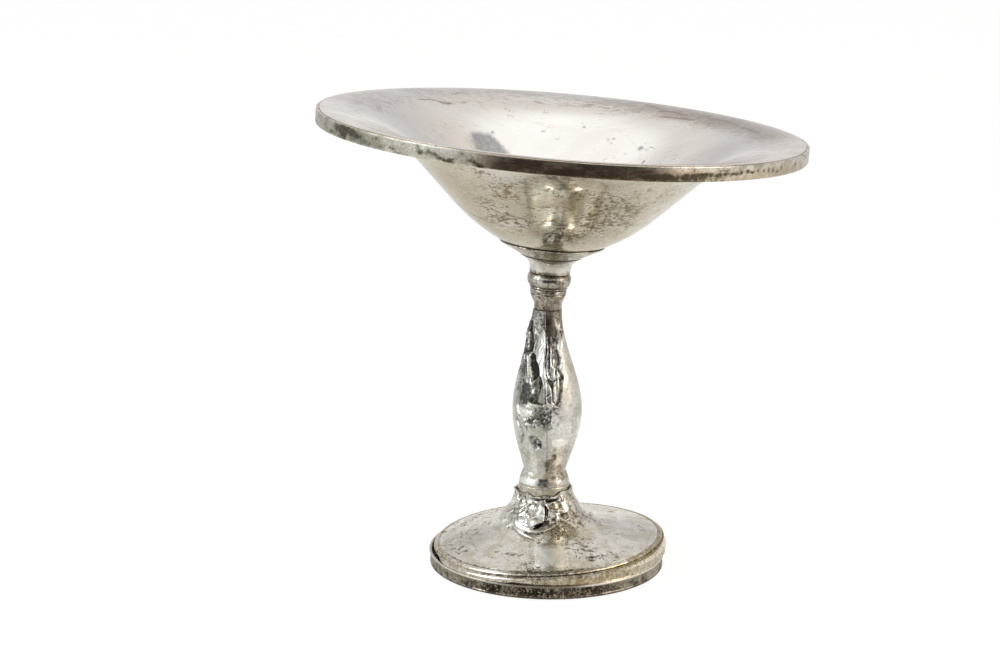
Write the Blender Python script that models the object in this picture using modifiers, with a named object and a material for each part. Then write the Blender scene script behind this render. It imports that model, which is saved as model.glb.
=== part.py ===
"""A footed silver compote: a wide spun bowl on a baluster stem and a weighted foot.

The piece is worn and damaged. The neck is bent, so the bowl leans to the right. The stem shell is crushed at the
front left. The foot cover is crumpled at its neck and has lifted out of its base ring on the right.
Z is up, X is to the right and the front faces -Y. The origin is the middle of the felt that the foot stands on.
"""

import math
from collections import namedtuple

import bmesh
import bpy
from mathutils import Vector

MM = 0.001
COLLECTION_NAME = "compote_dish"

# Clearances
SEAT_GAP = 0.3 * MM         # between two pieces that touch on the real object
COLLAR_PLAY = 0.5 * MM      # stem collar in the mouth of the foot
SKIRT_PLAY = 1.0 * MM       # foot cover's skirt inside the base ring
MERGE = 0.00001

# Roundness: steps round the wide pieces, the stem and the slim rings
WIDE_STEPS = 42
STEM_STEPS = 32
SLIM_STEPS = 24
STEM_RINGS = 18

# Damage
COVER_LIFT = math.radians(2.9)      # right side of the foot cover up
COVER_STAND = 0.5 * MM              # left side of the foot cover above the base ring
COVER_SHIFT = 0.5 * MM              # foot cover pushed to the right
EDGE_CURL = 0.9 * MM                # right edge of the foot cover bent up
SKIRT_FLARE = 2.3 * MM              # right side of the skirt bulges out over the base ring
HEM_FLARE = 1.6 * MM                # and its hem a little less
MOUTH_PUSH = 0.6 * MM               # crumpled mouth of the foot pushed to the left
STEM_LEAN = math.radians(0.45)      # stem leans to the right
BOWL_LEAN = math.radians(4.1)       # knop, boss and bowl lean to the right

# Base ring and felt
RING_RADIUS = 37.75 * MM            # at the upper lip
RING_FLARE = 0.6 * MM               # the lower lip is this much smaller in radius
RING_HEIGHT = 4.2 * MM
RING_SHEET = 0.5 * MM
RING_FLANGE = 2.8 * MM              # inward flange under the weight
LIP_PROUD = 0.25 * MM               # the two lips stand out from the band's face
LIP_HEIGHT = 0.7 * MM
FELT_THICKNESS = 1.1 * MM
FELT_PROUD = 0.4 * MM               # felt stands below the ring

# Foot cover
COVER_SHEET = 0.5 * MM
BEAD_HEIGHT = 1.4 * MM
BEAD_PROUD = 1.3 * MM               # the bead covers the base ring's upper lip
BEAD_ROUND = 1.5 * MM               # radius lost to the rounding above the bead
BEAD_SIDE = 0.65 * MM
BEAD_UNDER = 0.25 * MM
FLANGE_RUN = 15.4 * MM
FLANGE_SLOPE = math.radians(13.5)
FLARE_SLOPE = math.radians(77)
NECK_HEIGHT = 1.5 * MM

# Weight and tie rod
WEIGHT_NECK_RADIUS = 5.8 * MM
RECESS_RADIUS = 10.0 * MM
RECESS_DEPTH = 6.0 * MM
ROD_RADIUS = 2.2 * MM
ROD_BEND = 5.0 * MM                 # length of rod on each side of its bend that is curved
ROD_TAIL = 0.6 * MM                 # rod below its lower nut
WASHER_RADIUS = 8.0 * MM
WASHER_THICKNESS = 1.2 * MM
ROD_NUT_CORNER = 4.8 * MM
ROD_NUT_THICKNESS = 3.2 * MM

# Stem collar
COLLAR_RADIUS = 8.0 * MM
COLLAR_SPIGOT = 1.6 * MM            # depth in the mouth of the foot
COLLAR_BAND = 1.6 * MM              # plain band above the mouth
COLLAR_GROOVE = 0.3 * MM
COLLAR_SHOULDER = 3.8 * MM

# Stem
STEM_SHEET = 0.6 * MM
WAIST_RADIUS = 6.7 * MM
BELLY_RADIUS = 11.1 * MM
STEM_TOP_RADIUS = 4.4 * MM
WAIST_EASE = 1.2                    # how softly the curves leave the waist
WAIST_TO_BELLY = 19.8 * MM
BELLY_TO_TOP = 32.6 * MM
FILL_FOOT_RADIUS = 5.6 * MM

# Neck ferrule, knop and boss
NECK_SHEET = 0.6 * MM
SLEEVE_HEIGHT = 1.4 * MM
TAPER_HEIGHT = 2.6 * MM
FERRULE_BEAD_RADIUS = 5.75 * MM
FERRULE_BEAD_HEIGHT = 2.2 * MM
KNOP_EDGE_RADIUS = 5.75 * MM
KNOP_BULGE = 1.15 * MM
KNOP_HEIGHT = 4.6 * MM
BOSS_NECK_RADIUS = 6.4 * MM
BOSS_NECK_HEIGHT = 0.5 * MM
BOSS_NECK_RUN = 2.8 * MM
BOSS_NECK_SLOPE = math.radians(16.5)
BOSS_STEP_HEIGHT = 0.4 * MM
BOSS_STEP_RUN = 0.4 * MM
BOSS_RADIUS = 14.6 * MM
CALYX_SLOPE = math.radians(32)      # of the boss under the bowl
BOSS_SLOPE = math.radians(24)       # of the bowl over the boss
BOSS_EDGE_HEIGHT = 0.6 * MM
BOSS_NUT_CORNER = 7.0 * MM
BOSS_NUT_THICKNESS = 2.0 * MM

# Bowl and rim band
BOWL_SHEET = 0.9 * MM
BOWL_RADIUS = 76.0 * MM
BOWL_FLAT_RADIUS = 11.0 * MM        # flat bottom inside the boss
LOWER_RUN = 17.4 * MM
WALL_RUN = 11.4 * MM
WALL_SLOPE = math.radians(45)
BRIM_SLOPE = math.radians(2)
BRIM_STEPS = 6
BAND_SHEET = 0.9 * MM
BAND_HEIGHT = 4.3 * MM
LEDGE_WIDTH = 1.5 * MM
LEDGE_THICKNESS = 0.7 * MM

# Each dent is a smooth hollow pressed in towards the piece's axis. Its angle runs from +X towards +Y, so 270 is the
# front and 180 the left. A negative depth is a bulge.
Dent = namedtuple("Dent", "angle height depth half_width half_length")
STEM_DENTS = (
    Dent(angle=246, height=38 * MM, depth=2.3 * MM, half_width=3.4 * MM, half_length=8.0 * MM),
    Dent(angle=276, height=41 * MM, depth=1.2 * MM, half_width=1.5 * MM, half_length=9.0 * MM),
    Dent(angle=252, height=23 * MM, depth=1.5 * MM, half_width=3.5 * MM, half_length=3.2 * MM),
    Dent(angle=248, height=15 * MM, depth=0.8 * MM, half_width=2.2 * MM, half_length=2.2 * MM),
    Dent(angle=192, height=50 * MM, depth=-1.7 * MM, half_width=3.2 * MM, half_length=7.0 * MM),
    Dent(angle=180, height=23 * MM, depth=0.5 * MM, half_width=7.0 * MM, half_length=14.0 * MM),
    Dent(angle=0, height=25 * MM, depth=-0.4 * MM, half_width=7.0 * MM, half_length=14.0 * MM),
)
COVER_DENTS = (
    Dent(angle=262, height=10.5 * MM, depth=1.9 * MM, half_width=3.6 * MM, half_length=3.0 * MM),
    Dent(angle=226, height=11.5 * MM, depth=1.1 * MM, half_width=2.6 * MM, half_length=2.6 * MM),
    Dent(angle=305, height=12.0 * MM, depth=0.9 * MM, half_width=2.2 * MM, half_length=2.4 * MM),
    Dent(angle=198, height=12.5 * MM, depth=-0.9 * MM, half_width=3.0 * MM, half_length=2.8 * MM),
)

SILVER = (0.74, 0.71, 0.66)
DULL_SILVER = (0.62, 0.58, 0.50)
DARK_SILVER = (0.42, 0.38, 0.31)
CEMENT = (0.55, 0.53, 0.49)
STEEL = (0.45, 0.44, 0.43)
BRASS = (0.62, 0.47, 0.22)
FELT = (0.05, 0.13, 0.08)


def finish(name, color, roughness, metallic):
    """A plain material with one colour."""
    material = bpy.data.materials.new(name)
    material.use_nodes = True
    shader = material.node_tree.nodes["Principled BSDF"]
    shader.inputs["Base Color"].default_value = (*color, 1.0)
    shader.inputs["Roughness"].default_value = roughness
    shader.inputs["Metallic"].default_value = metallic
    return material


def metal(name, color=SILVER, roughness=0.22):
    return finish(name + "_metal", color, roughness, 1.0)


def curve_run(start, slope_from, slope_to, run, steps):
    """Points after start on an arc whose slope turns from one angle to another over a run outwards."""
    r, z = start
    radius = run / (math.sin(slope_to) - math.sin(slope_from))
    points = []
    for i in range(1, steps + 1):
        slope = slope_from + (slope_to - slope_from) * i / steps
        points.append((r + radius * (math.sin(slope) - math.sin(slope_from)),
                       z + radius * (math.cos(slope_from) - math.cos(slope))))
    return points


def add_node(name, mesh, parent, material):
    """An object of the dish, with its material, set on one of its axes."""
    piece = bpy.data.objects.new(name, mesh)
    parts.objects.link(piece)
    piece.parent = parent
    if material:
        mesh.materials.append(material)
    return piece


def turned(name, profile, parent, material, steps, closed=False):
    """A profile in (radius, height), listed down its outer side, turned round the piece's axis."""
    count = len(profile)
    edges = [(i, i + 1) for i in range(count - 1)]
    if closed:
        edges.append((count - 1, 0))
    mesh = bpy.data.meshes.new(name)
    mesh.from_pydata([(r, 0.0, z) for r, z in profile], edges, [])
    piece = add_node(name, mesh, parent, material)
    screw = piece.modifiers.new("turn", "SCREW")
    screw.axis = "Z"
    screw.angle = 2 * math.pi
    screw.steps = steps
    screw.render_steps = steps
    screw.use_merge_vertices = True
    screw.merge_threshold = MERGE
    screw.use_smooth_shade = True
    return piece


def add_wall(piece, thickness):
    """Sheet thickness, from the turned outer side inwards."""
    wall = piece.modifiers.new("sheet", "SOLIDIFY")
    wall.thickness = thickness
    wall.offset = -1.0
    wall.use_even_offset = True


def freeze(piece):
    """The turned shape as a mesh of its own, ready to be dented."""
    graph = bpy.context.evaluated_depsgraph_get()
    mesh = bpy.data.meshes.new_from_object(piece.evaluated_get(graph))
    piece.modifiers.clear()
    piece.data = mesh


def press_dents(piece, dents, inner_radius=0.0):
    """Push the points of a turned mesh in by the dents, apart from a bore."""
    for vertex in piece.data.vertices:
        x, y, z = vertex.co
        radius = math.hypot(x, y)
        if radius <= inner_radius:
            continue
        angle = math.atan2(y, x)
        pressed = 0.0
        for dent in dents:
            turn = math.remainder(angle - math.radians(dent.angle), 2 * math.pi)
            across = turn * radius / dent.half_width
            along = (z - dent.height) / dent.half_length
            pressed += dent.depth * math.exp(-across ** 2 - along ** 2)
        vertex.co.x *= 1 - pressed / radius
        vertex.co.y *= 1 - pressed / radius
    piece.data.shade_smooth()


def axis_empty(name, place, lean, parent=None):
    """An axis that pieces are turned round: a place and a lean to the right."""
    empty = bpy.data.objects.new(name, None)
    parts.objects.link(empty)
    empty.parent = parent
    empty.location = place
    empty.rotation_euler = (0.0, lean, 0.0)
    return empty


def hidden_cutter(name, profile, parent, steps):
    """A turned solid that only cuts others."""
    cutter = turned(name, profile, parent, None, steps)
    parts.objects.unlink(cutter)
    cutters.objects.link(cutter)
    cutter.hide_render = True
    cutter.display_type = "WIRE"
    return cutter


def cut(piece, cutter):
    boolean = piece.modifiers.new("bore", "BOOLEAN")
    boolean.operation = "DIFFERENCE"
    boolean.solver = "EXACT"
    boolean.object = cutter


def hex_nut(name, corner, thickness, base, bore_cutter, parent, material):
    """A six-sided nut standing on its base height, bored by a cutter on the same axis."""
    mesh = bpy.data.meshes.new(name)
    shape = bmesh.new()
    bmesh.ops.create_cone(shape, cap_ends=True, segments=6, radius1=corner, radius2=corner, depth=thickness)
    bmesh.ops.translate(shape, verts=shape.verts, vec=(0.0, 0.0, base + thickness / 2))
    shape.to_mesh(mesh)
    shape.free()
    nut = add_node(name, mesh, parent, material)
    cut(nut, bore_cutter)
    return nut


for old in list(bpy.data.objects):
    bpy.data.objects.remove(old)
parts = bpy.data.collections.new(COLLECTION_NAME)
cutters = bpy.data.collections.new(COLLECTION_NAME + "_cutters")
bpy.context.scene.collection.children.link(parts)
bpy.context.scene.collection.children.link(cutters)

# Base ring: a band with two lips and an inward flange under the weight
ring_bottom = FELT_PROUD
ring_top = ring_bottom + RING_HEIGHT
ring_foot = RING_RADIUS - RING_FLARE
ring_inner = RING_RADIUS - LIP_PROUD - RING_SHEET
ring_foot_inner = ring_inner - RING_FLARE
flange_inner = ring_foot_inner - RING_FLANGE
flange_top = ring_bottom + RING_SHEET
base_axis = axis_empty("base_axis", (0.0, 0.0, 0.0), 0.0)
turned("base_ring", [
    (RING_RADIUS, ring_top),
    (RING_RADIUS, ring_top - LIP_HEIGHT),
    (RING_RADIUS - LIP_PROUD, ring_top - LIP_HEIGHT - LIP_PROUD),
    (ring_foot - LIP_PROUD, ring_bottom + LIP_HEIGHT + LIP_PROUD),
    (ring_foot, ring_bottom + LIP_HEIGHT),
    (ring_foot, ring_bottom),
    (flange_inner, ring_bottom),
    (flange_inner, flange_top),
    (ring_foot_inner, flange_top),
    (ring_inner, ring_top),
], base_axis, metal("base_ring", DARK_SILVER, 0.38), WIDE_STEPS, closed=True)

# Felt: a flat disc inside the ring's flange
felt_radius = flange_inner - SEAT_GAP
turned("felt_pad", [(0.0, FELT_THICKNESS), (felt_radius, FELT_THICKNESS), (felt_radius, 0.0), (0.0, 0.0)],
       base_axis, finish("felt_pad_felt", FELT, 0.95, 0.0), WIDE_STEPS)

# Foot cover: skirt, bead, flange, flare and neck, turned on an axis that has tipped with the right side up
skirt_radius = ring_inner - SKIRT_PLAY
bead_radius = skirt_radius + BEAD_PROUD
flange_edge = bead_radius - BEAD_ROUND
skirt_depth = RING_HEIGHT - RING_SHEET + COVER_STAND - SEAT_GAP
cover_base = ring_top + COVER_STAND + bead_radius * math.sin(COVER_LIFT)
mouth_radius = COLLAR_RADIUS + COLLAR_PLAY + COVER_SHEET
flare_run = flange_edge - FLANGE_RUN - mouth_radius
flare = curve_run((mouth_radius, 0.0), -FLARE_SLOPE, -FLANGE_SLOPE, flare_run, 8)
flange_drop = FLANGE_RUN * math.tan(FLANGE_SLOPE)
mouth_height = BEAD_HEIGHT + flange_drop - flare[-1][1] + NECK_HEIGHT
cover_profile = [(mouth_radius, mouth_height), (mouth_radius, mouth_height - NECK_HEIGHT)]
cover_profile += [(r, z + mouth_height - NECK_HEIGHT) for r, z in flare]
cover_profile += [
    (flange_edge, BEAD_HEIGHT),
    (flange_edge + BEAD_ROUND * 0.6, BEAD_UNDER + BEAD_SIDE + (BEAD_HEIGHT - BEAD_UNDER - BEAD_SIDE) * 0.7),
    (bead_radius, BEAD_UNDER + BEAD_SIDE),
    (bead_radius, BEAD_UNDER),
    (skirt_radius, 0.0),
    (skirt_radius, -skirt_depth / 3),
    (skirt_radius, -skirt_depth),
]
cover_axis = axis_empty("cover_axis", (COVER_SHIFT, 0.0, cover_base), -COVER_LIFT)
foot_cover = turned("foot_cover", cover_profile, cover_axis, metal("foot_cover", SILVER, 0.24), WIDE_STEPS)
freeze(foot_cover)
press_dents(foot_cover, COVER_DENTS)
for vertex in foot_cover.data.vertices:
    x, y, z = vertex.co
    right = max(0.0, x / bead_radius)
    if z < -skirt_depth / 2:
        vertex.co.x += HEM_FLARE * right ** 6
    elif z < -MERGE:
        vertex.co.x += SKIRT_FLARE * right ** 6
    else:
        vertex.co.z += EDGE_CURL * right ** 4
        vertex.co.x -= MOUTH_PUSH * (z / mouth_height) ** 2
add_wall(foot_cover, COVER_SHEET)

# Axis of the stem, from the middle of the foot's mouth
mouth_x = COVER_SHIFT - mouth_height * math.sin(COVER_LIFT) - MOUTH_PUSH
mouth_z = cover_base + mouth_height * math.cos(COVER_LIFT)
stem_axis = axis_empty("stem_axis", (mouth_x, 0.0, mouth_z), STEM_LEAN)

# Foot weight: cement that fills the foot, upright, so that the lifted cover stands clear of it on the right
weight_bottom = flange_top + SEAT_GAP
swing = skirt_depth * math.sin(COVER_LIFT)
weight_radius = skirt_radius - COVER_SHEET - COVER_SHIFT - swing - SEAT_GAP
inset = (COVER_SHEET + SEAT_GAP) * math.sqrt(2) + COVER_SHIFT
weight_neck_top = mouth_z - COLLAR_SPIGOT - SEAT_GAP
weight_crown = []
for r, z in cover_profile:
    under_r = r - inset
    under_z = cover_base + z - inset - r * math.sin(COVER_LIFT)
    if z > BEAD_HEIGHT and under_r > WEIGHT_NECK_RADIUS + inset and under_z < weight_neck_top - inset:
        weight_crown.append((under_r, under_z))
crown_edge = cover_base + BEAD_HEIGHT - inset - skirt_radius * math.sin(COVER_LIFT)
foot_weight = turned("foot_weight", [
    (0.0, weight_neck_top),
    (WEIGHT_NECK_RADIUS, weight_neck_top),
    (WEIGHT_NECK_RADIUS, weight_crown[0][1]),
    *weight_crown,
    (weight_radius, crown_edge),
    (weight_radius, weight_bottom),
    (0.0, weight_bottom),
], base_axis, finish("foot_weight_cement", CEMENT, 0.9, 0.0), WIDE_STEPS)

# Bore and recess of the weight, on the stem's axis
bore_radius = ROD_RADIUS + SEAT_GAP
recess_top = weight_bottom + RECESS_DEPTH - mouth_z
cutter_bottom = -mouth_z
weight_cutter = hidden_cutter("weight_cutter", [
    (0.0, 0.0),
    (bore_radius, 0.0),
    (bore_radius, recess_top),
    (RECESS_RADIUS, recess_top),
    (RECESS_RADIUS, cutter_bottom),
    (0.0, cutter_bottom),
], stem_axis, SLIM_STEPS)
cut(foot_weight, weight_cutter)

# Washer and nut at the rod's lower end
washer_top = recess_top - SEAT_GAP
washer_bottom = washer_top - WASHER_THICKNESS
turned("rod_washer", [
    (WASHER_RADIUS, washer_top),
    (WASHER_RADIUS, washer_bottom),
    (bore_radius, washer_bottom),
    (bore_radius, washer_top),
], stem_axis, metal("rod_washer", STEEL, 0.45), SLIM_STEPS, closed=True)
nut_base = washer_bottom - SEAT_GAP - ROD_NUT_THICKNESS
hex_nut("rod_nut", ROD_NUT_CORNER, ROD_NUT_THICKNESS, nut_base,
        hidden_cutter("rod_nut_cutter", [
            (0.0, washer_bottom),
            (bore_radius, washer_bottom),
            (bore_radius, cutter_bottom),
            (0.0, cutter_bottom),
        ], stem_axis, SLIM_STEPS),
        stem_axis, metal("rod_nut", STEEL, 0.45))

# Stem collar: a round shoulder over a plain band that stands in the mouth of the foot
shoulder_top = COLLAR_BAND + COLLAR_GROOVE + COLLAR_SHOULDER
collar_bore = FILL_FOOT_RADIUS + SEAT_GAP
collar_profile = []
for i in range(6):
    t = i / 5
    collar_profile.append((WAIST_RADIUS + (COLLAR_RADIUS - WAIST_RADIUS) * math.sin(t * math.pi / 2) ** WAIST_EASE,
                           shoulder_top - t * COLLAR_SHOULDER))
collar_profile += [
    (COLLAR_RADIUS - COLLAR_GROOVE, COLLAR_BAND + COLLAR_GROOVE / 2),
    (COLLAR_RADIUS, COLLAR_BAND),
    (COLLAR_RADIUS, -COLLAR_SPIGOT),
    (collar_bore, -COLLAR_SPIGOT),
    (collar_bore, shoulder_top),
]
turned("stem_collar", collar_profile, stem_axis, metal("stem_collar", SILVER, 0.2), SLIM_STEPS, closed=True)

# Stem shell: a baluster, full below its belly and drawn in to a slim top, then crushed
waist = shoulder_top + SEAT_GAP
belly = waist + WAIST_TO_BELLY
stem_top = belly + BELLY_TO_TOP


def baluster_radius(height):
    """Radius of the stem's outer side before the crush."""
    if height < belly:
        swell = math.sin((height - waist) / WAIST_TO_BELLY * math.pi / 2) ** WAIST_EASE
        return WAIST_RADIUS + (BELLY_RADIUS - WAIST_RADIUS) * swell
    fall = 0.5 - 0.5 * math.cos((height - belly) / BELLY_TO_TOP * math.pi)
    return BELLY_RADIUS + (STEM_TOP_RADIUS - BELLY_RADIUS) * fall


stem_profile = []
for i in range(STEM_RINGS + 1):
    height = waist + (stem_top - waist) * (STEM_RINGS - i) / STEM_RINGS
    stem_profile.append((baluster_radius(height), height))
stem_shell = turned("stem_shell", stem_profile, stem_axis, metal("stem_shell", SILVER, 0.2), STEM_STEPS)
freeze(stem_shell)
press_dents(stem_shell, STEM_DENTS)
add_wall(stem_shell, STEM_SHEET)

# Stem fill: cement inside the shell and the collar, round the rod
fill_inset = STEM_SHEET + SEAT_GAP
fill_bottom = SEAT_GAP - COLLAR_SPIGOT
fill_profile = [(r - fill_inset, z) for r, z in stem_profile[1:-1]]
fill_profile += [
    (FILL_FOOT_RADIUS, waist),
    (FILL_FOOT_RADIUS, fill_bottom),
    (bore_radius, fill_bottom),
    (bore_radius, stem_profile[1][1]),
]
stem_fill = turned("stem_fill", fill_profile, stem_axis, finish("stem_fill_cement", CEMENT, 0.9, 0.0),
                   STEM_STEPS, closed=True)
freeze(stem_fill)
press_dents(stem_fill, STEM_DENTS, inner_radius=bore_radius + MERGE)

# Neck ferrule: a sleeve on the stem's top, tapering out to a bead
neck_bore = STEM_TOP_RADIUS - NECK_SHEET
sleeve_bottom = stem_top + SEAT_GAP
sleeve_top = sleeve_bottom + SLEEVE_HEIGHT
taper_top = sleeve_top + TAPER_HEIGHT
ferrule_top = taper_top + FERRULE_BEAD_HEIGHT
bead_bulge = (FERRULE_BEAD_RADIUS - STEM_TOP_RADIUS) / 3
taper_foot = FERRULE_BEAD_RADIUS - bead_bulge
ferrule_profile = []
for i in range(5):
    turn = math.pi / 2 - i / 4 * math.pi
    ferrule_profile.append((taper_foot + bead_bulge * math.cos(turn),
                            ferrule_top - FERRULE_BEAD_HEIGHT / 2 * (1 - math.sin(turn))))
for i in range(1, 5):
    t = i / 4
    ferrule_profile.append((STEM_TOP_RADIUS + (taper_foot - STEM_TOP_RADIUS) * (1 + math.cos(t * math.pi)) / 2,
                            taper_top - t * TAPER_HEIGHT))
ferrule_profile += [(STEM_TOP_RADIUS, sleeve_bottom), (neck_bore, sleeve_bottom), (neck_bore, ferrule_top)]
turned("neck_ferrule", ferrule_profile, stem_axis, metal("neck_ferrule", SILVER, 0.22), SLIM_STEPS, closed=True)

# Axis of the bowl, bent over between the ferrule and the knop
bowl_axis = axis_empty("bowl_axis", (0.0, 0.0, ferrule_top), BOWL_LEAN - STEM_LEAN, stem_axis)

# Neck knop: a full round ring that stands clear of the ferrule by the bend
knop_bottom = SEAT_GAP + KNOP_EDGE_RADIUS * math.sin(BOWL_LEAN - STEM_LEAN)
knop_middle = knop_bottom + KNOP_HEIGHT / 2
knop_top = knop_bottom + KNOP_HEIGHT
knop_profile = []
for i in range(8):
    turn = math.pi / 2 - i / 7 * math.pi
    knop_profile.append((KNOP_EDGE_RADIUS + KNOP_BULGE * math.cos(turn),
                         knop_middle + KNOP_HEIGHT / 2 * math.sin(turn)))
knop_profile += [(neck_bore, knop_bottom), (neck_bore, knop_top)]
turned("neck_knop", knop_profile, bowl_axis, metal("neck_knop", SILVER, 0.2), SLIM_STEPS, closed=True)

# Bowl boss: a concave neck that flares into a stepped calyx under the bowl
boss_bottom = knop_top + SEAT_GAP
neck_foot = (BOSS_NECK_RADIUS, boss_bottom + BOSS_NECK_HEIGHT)
neck_curve = curve_run(neck_foot, math.pi / 2, BOSS_NECK_SLOPE, BOSS_NECK_RUN, 5)
step_r, step_z = neck_curve[-1]
calyx_r = step_r + BOSS_STEP_RUN
calyx_z = step_z + BOSS_STEP_HEIGHT
edge_bottom = calyx_z + (BOSS_RADIUS - calyx_r) * math.tan(CALYX_SLOPE)
boss_top = edge_bottom + BOSS_EDGE_HEIGHT
boss_profile = [(BOSS_NECK_RADIUS, boss_bottom), neck_foot, *neck_curve, (calyx_r, calyx_z),
                (BOSS_RADIUS, edge_bottom), (BOSS_RADIUS, boss_top)]
boss_profile.reverse()
add_wall(turned("bowl_boss", boss_profile, bowl_axis, metal("bowl_boss", SILVER, 0.24), SLIM_STEPS), NECK_SHEET)

# Nut in the boss, resting in the flare of its neck
nut_seat = step_z + SEAT_GAP
hex_nut("boss_nut", BOSS_NUT_CORNER, BOSS_NUT_THICKNESS, nut_seat,
        hidden_cutter("boss_nut_cutter", [
            (0.0, boss_top),
            (bore_radius, boss_top),
            (bore_radius, boss_bottom),
            (0.0, boss_bottom),
        ], bowl_axis, SLIM_STEPS),
        bowl_axis, metal("boss_nut", BRASS, 0.4))

# Bowl: flat bottom, lower curve, straight wall and a brim that flares out flat
bowl_edge_radius = BOWL_RADIUS - BAND_SHEET - SEAT_GAP
seat = (BOSS_RADIUS, boss_top + SEAT_GAP)
bottom_curve = curve_run((BOWL_FLAT_RADIUS, 0.0), 0.0, BOSS_SLOPE, BOSS_RADIUS - BOWL_FLAT_RADIUS, 3)
flat_height = seat[1] - bottom_curve[-1][1]
bowl_profile = [(0.0, flat_height), (BOWL_FLAT_RADIUS, flat_height)]
bowl_profile += [(r, z + flat_height) for r, z in bottom_curve]
bowl_profile += curve_run(seat, BOSS_SLOPE, WALL_SLOPE, LOWER_RUN, 4)
wall_foot_r, wall_foot_z = bowl_profile[-1]
wall_top = (wall_foot_r + WALL_RUN, wall_foot_z + WALL_RUN * math.tan(WALL_SLOPE))
bowl_profile.append(wall_top)
bowl_profile += curve_run(wall_top, WALL_SLOPE, BRIM_SLOPE, bowl_edge_radius - wall_top[0], BRIM_STEPS)
bowl_edge = bowl_profile[-1][1]
bowl_profile.reverse()
add_wall(turned("bowl", bowl_profile, bowl_axis, metal("bowl", SILVER, 0.22), WIDE_STEPS), BOWL_SHEET)

# Rim band: an upright band with a ledge that the bowl's edge sits on
band_top = bowl_edge + BOWL_SHEET
band_bottom = band_top - BAND_HEIGHT
band_inner = BOWL_RADIUS - BAND_SHEET
ledge_inner = band_inner - LEDGE_WIDTH
ledge_slope = BRIM_SLOPE + (WALL_SLOPE - BRIM_SLOPE) / BRIM_STEPS
ledge_top = bowl_edge - SEAT_GAP - LEDGE_WIDTH * math.tan(ledge_slope)
ledge_bottom = ledge_top - LEDGE_THICKNESS
turned("rim_band", [
    (BOWL_RADIUS, band_top),
    (BOWL_RADIUS, band_bottom),
    (band_inner, band_bottom),
    (band_inner, ledge_bottom),
    (ledge_inner, ledge_bottom),
    (ledge_inner, ledge_top),
    (band_inner, ledge_top),
    (band_inner, band_top),
], bowl_axis, metal("rim_band", DULL_SILVER, 0.3), WIDE_STEPS, closed=True)

# Tie rod: straight up the stem, bent with the neck, then up the bowl's axis into its nut
bpy.context.view_layer.update()
stem_way = stem_axis.matrix_world
bowl_way = bowl_axis.matrix_world
rod_end = nut_base - ROD_TAIL
bend_start = stem_way @ Vector((0.0, 0.0, ferrule_top - ROD_BEND))
bend_corner = stem_way @ Vector((0.0, 0.0, ferrule_top))
bend_end = bowl_way @ Vector((0.0, 0.0, ROD_BEND))
rod_points = [stem_way @ Vector((0.0, 0.0, rod_end))]
for i in range(5):
    t = i / 4
    rod_points.append(bend_start.lerp(bend_corner, t).lerp(bend_corner.lerp(bend_end, t), t))
rod_points.append(bowl_way @ Vector((0.0, 0.0, nut_seat + BOSS_NUT_THICKNESS)))
rod_curve = bpy.data.curves.new("tie_rod", "CURVE")
rod_curve.dimensions = "3D"
rod_curve.bevel_depth = ROD_RADIUS
rod_curve.bevel_resolution = 3
rod_curve.use_fill_caps = True
spline = rod_curve.splines.new("POLY")
spline.points.add(len(rod_points) - 1)
for point, place in zip(spline.points, rod_points):
    point.co = (*place, 1.0)
add_node("tie_rod", rod_curve, None, metal("tie_rod", STEEL, 0.5))
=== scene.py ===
import math

import bpy
import numpy as np
from mathutils import Matrix, Vector


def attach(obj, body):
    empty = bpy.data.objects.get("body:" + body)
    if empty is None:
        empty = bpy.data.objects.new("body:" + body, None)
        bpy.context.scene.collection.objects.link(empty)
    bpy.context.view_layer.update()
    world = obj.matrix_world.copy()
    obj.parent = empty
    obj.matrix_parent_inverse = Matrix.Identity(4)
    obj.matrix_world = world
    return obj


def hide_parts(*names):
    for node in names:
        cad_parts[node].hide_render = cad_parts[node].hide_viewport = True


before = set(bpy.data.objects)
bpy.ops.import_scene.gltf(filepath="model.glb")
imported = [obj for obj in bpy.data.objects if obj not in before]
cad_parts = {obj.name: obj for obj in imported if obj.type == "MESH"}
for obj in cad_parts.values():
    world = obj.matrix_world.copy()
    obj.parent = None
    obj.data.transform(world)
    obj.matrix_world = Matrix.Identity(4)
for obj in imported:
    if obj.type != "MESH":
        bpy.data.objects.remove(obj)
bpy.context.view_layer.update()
MM = 0.001


# Felt pad: a disc of green wool felt, cut to the foot and glued over its hollow.
# Only its fuzzy underside is ever seen, so the solid stays and gets a napped surface.
def feed(tree, node, sockets):
    """Sets the sockets of a node, or links them to what other nodes give."""
    for name, value in sockets.items():
        if isinstance(value, bpy.types.NodeSocket):
            tree.links.new(value, node.inputs[name])
        else:
            node.inputs[name].default_value = value


def put(tree, kind, sockets=None, **settings):
    """A new node in a tree, with its settings made and its sockets fed."""
    node = tree.nodes.new(kind)
    for name, value in settings.items():
        setattr(node, name, value)
    feed(tree, node, sockets or {})
    return node


def on_piece(tree):
    """The place on the piece, which its patterns follow."""
    return put(tree, "ShaderNodeTexCoord").outputs["Object"]


def noise(tree, place, scale, detail, roughness=0.5, distortion=0.0):
    """Cloudy noise over the surface."""
    return put(tree, "ShaderNodeTexNoise", {
        "Vector": place, "Scale": scale, "Detail": detail, "Roughness": roughness, "Distortion": distortion,
    }).outputs["Fac"]


def sum_of(tree, operation, *values):
    """One step of arithmetic on values that change over the surface."""
    return put(tree, "ShaderNodeMath", dict(enumerate(values)), operation=operation).outputs[0]


def between(tree, value, low, high, start=0.0, end=1.0):
    """Where a value lies between two limits, with a soft start and end."""
    return put(tree, "ShaderNodeMapRange", {
        "Value": value, "From Min": low, "From Max": high, "To Min": start, "To Max": end,
    }, interpolation_type="SMOOTHSTEP").outputs[0]


def laid_over(tree, share, under, over):
    """One colour laid over another by a share."""
    return put(tree, "ShaderNodeMix", {0: share, 6: under, 7: over}, data_type="RGBA").outputs[2]


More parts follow.
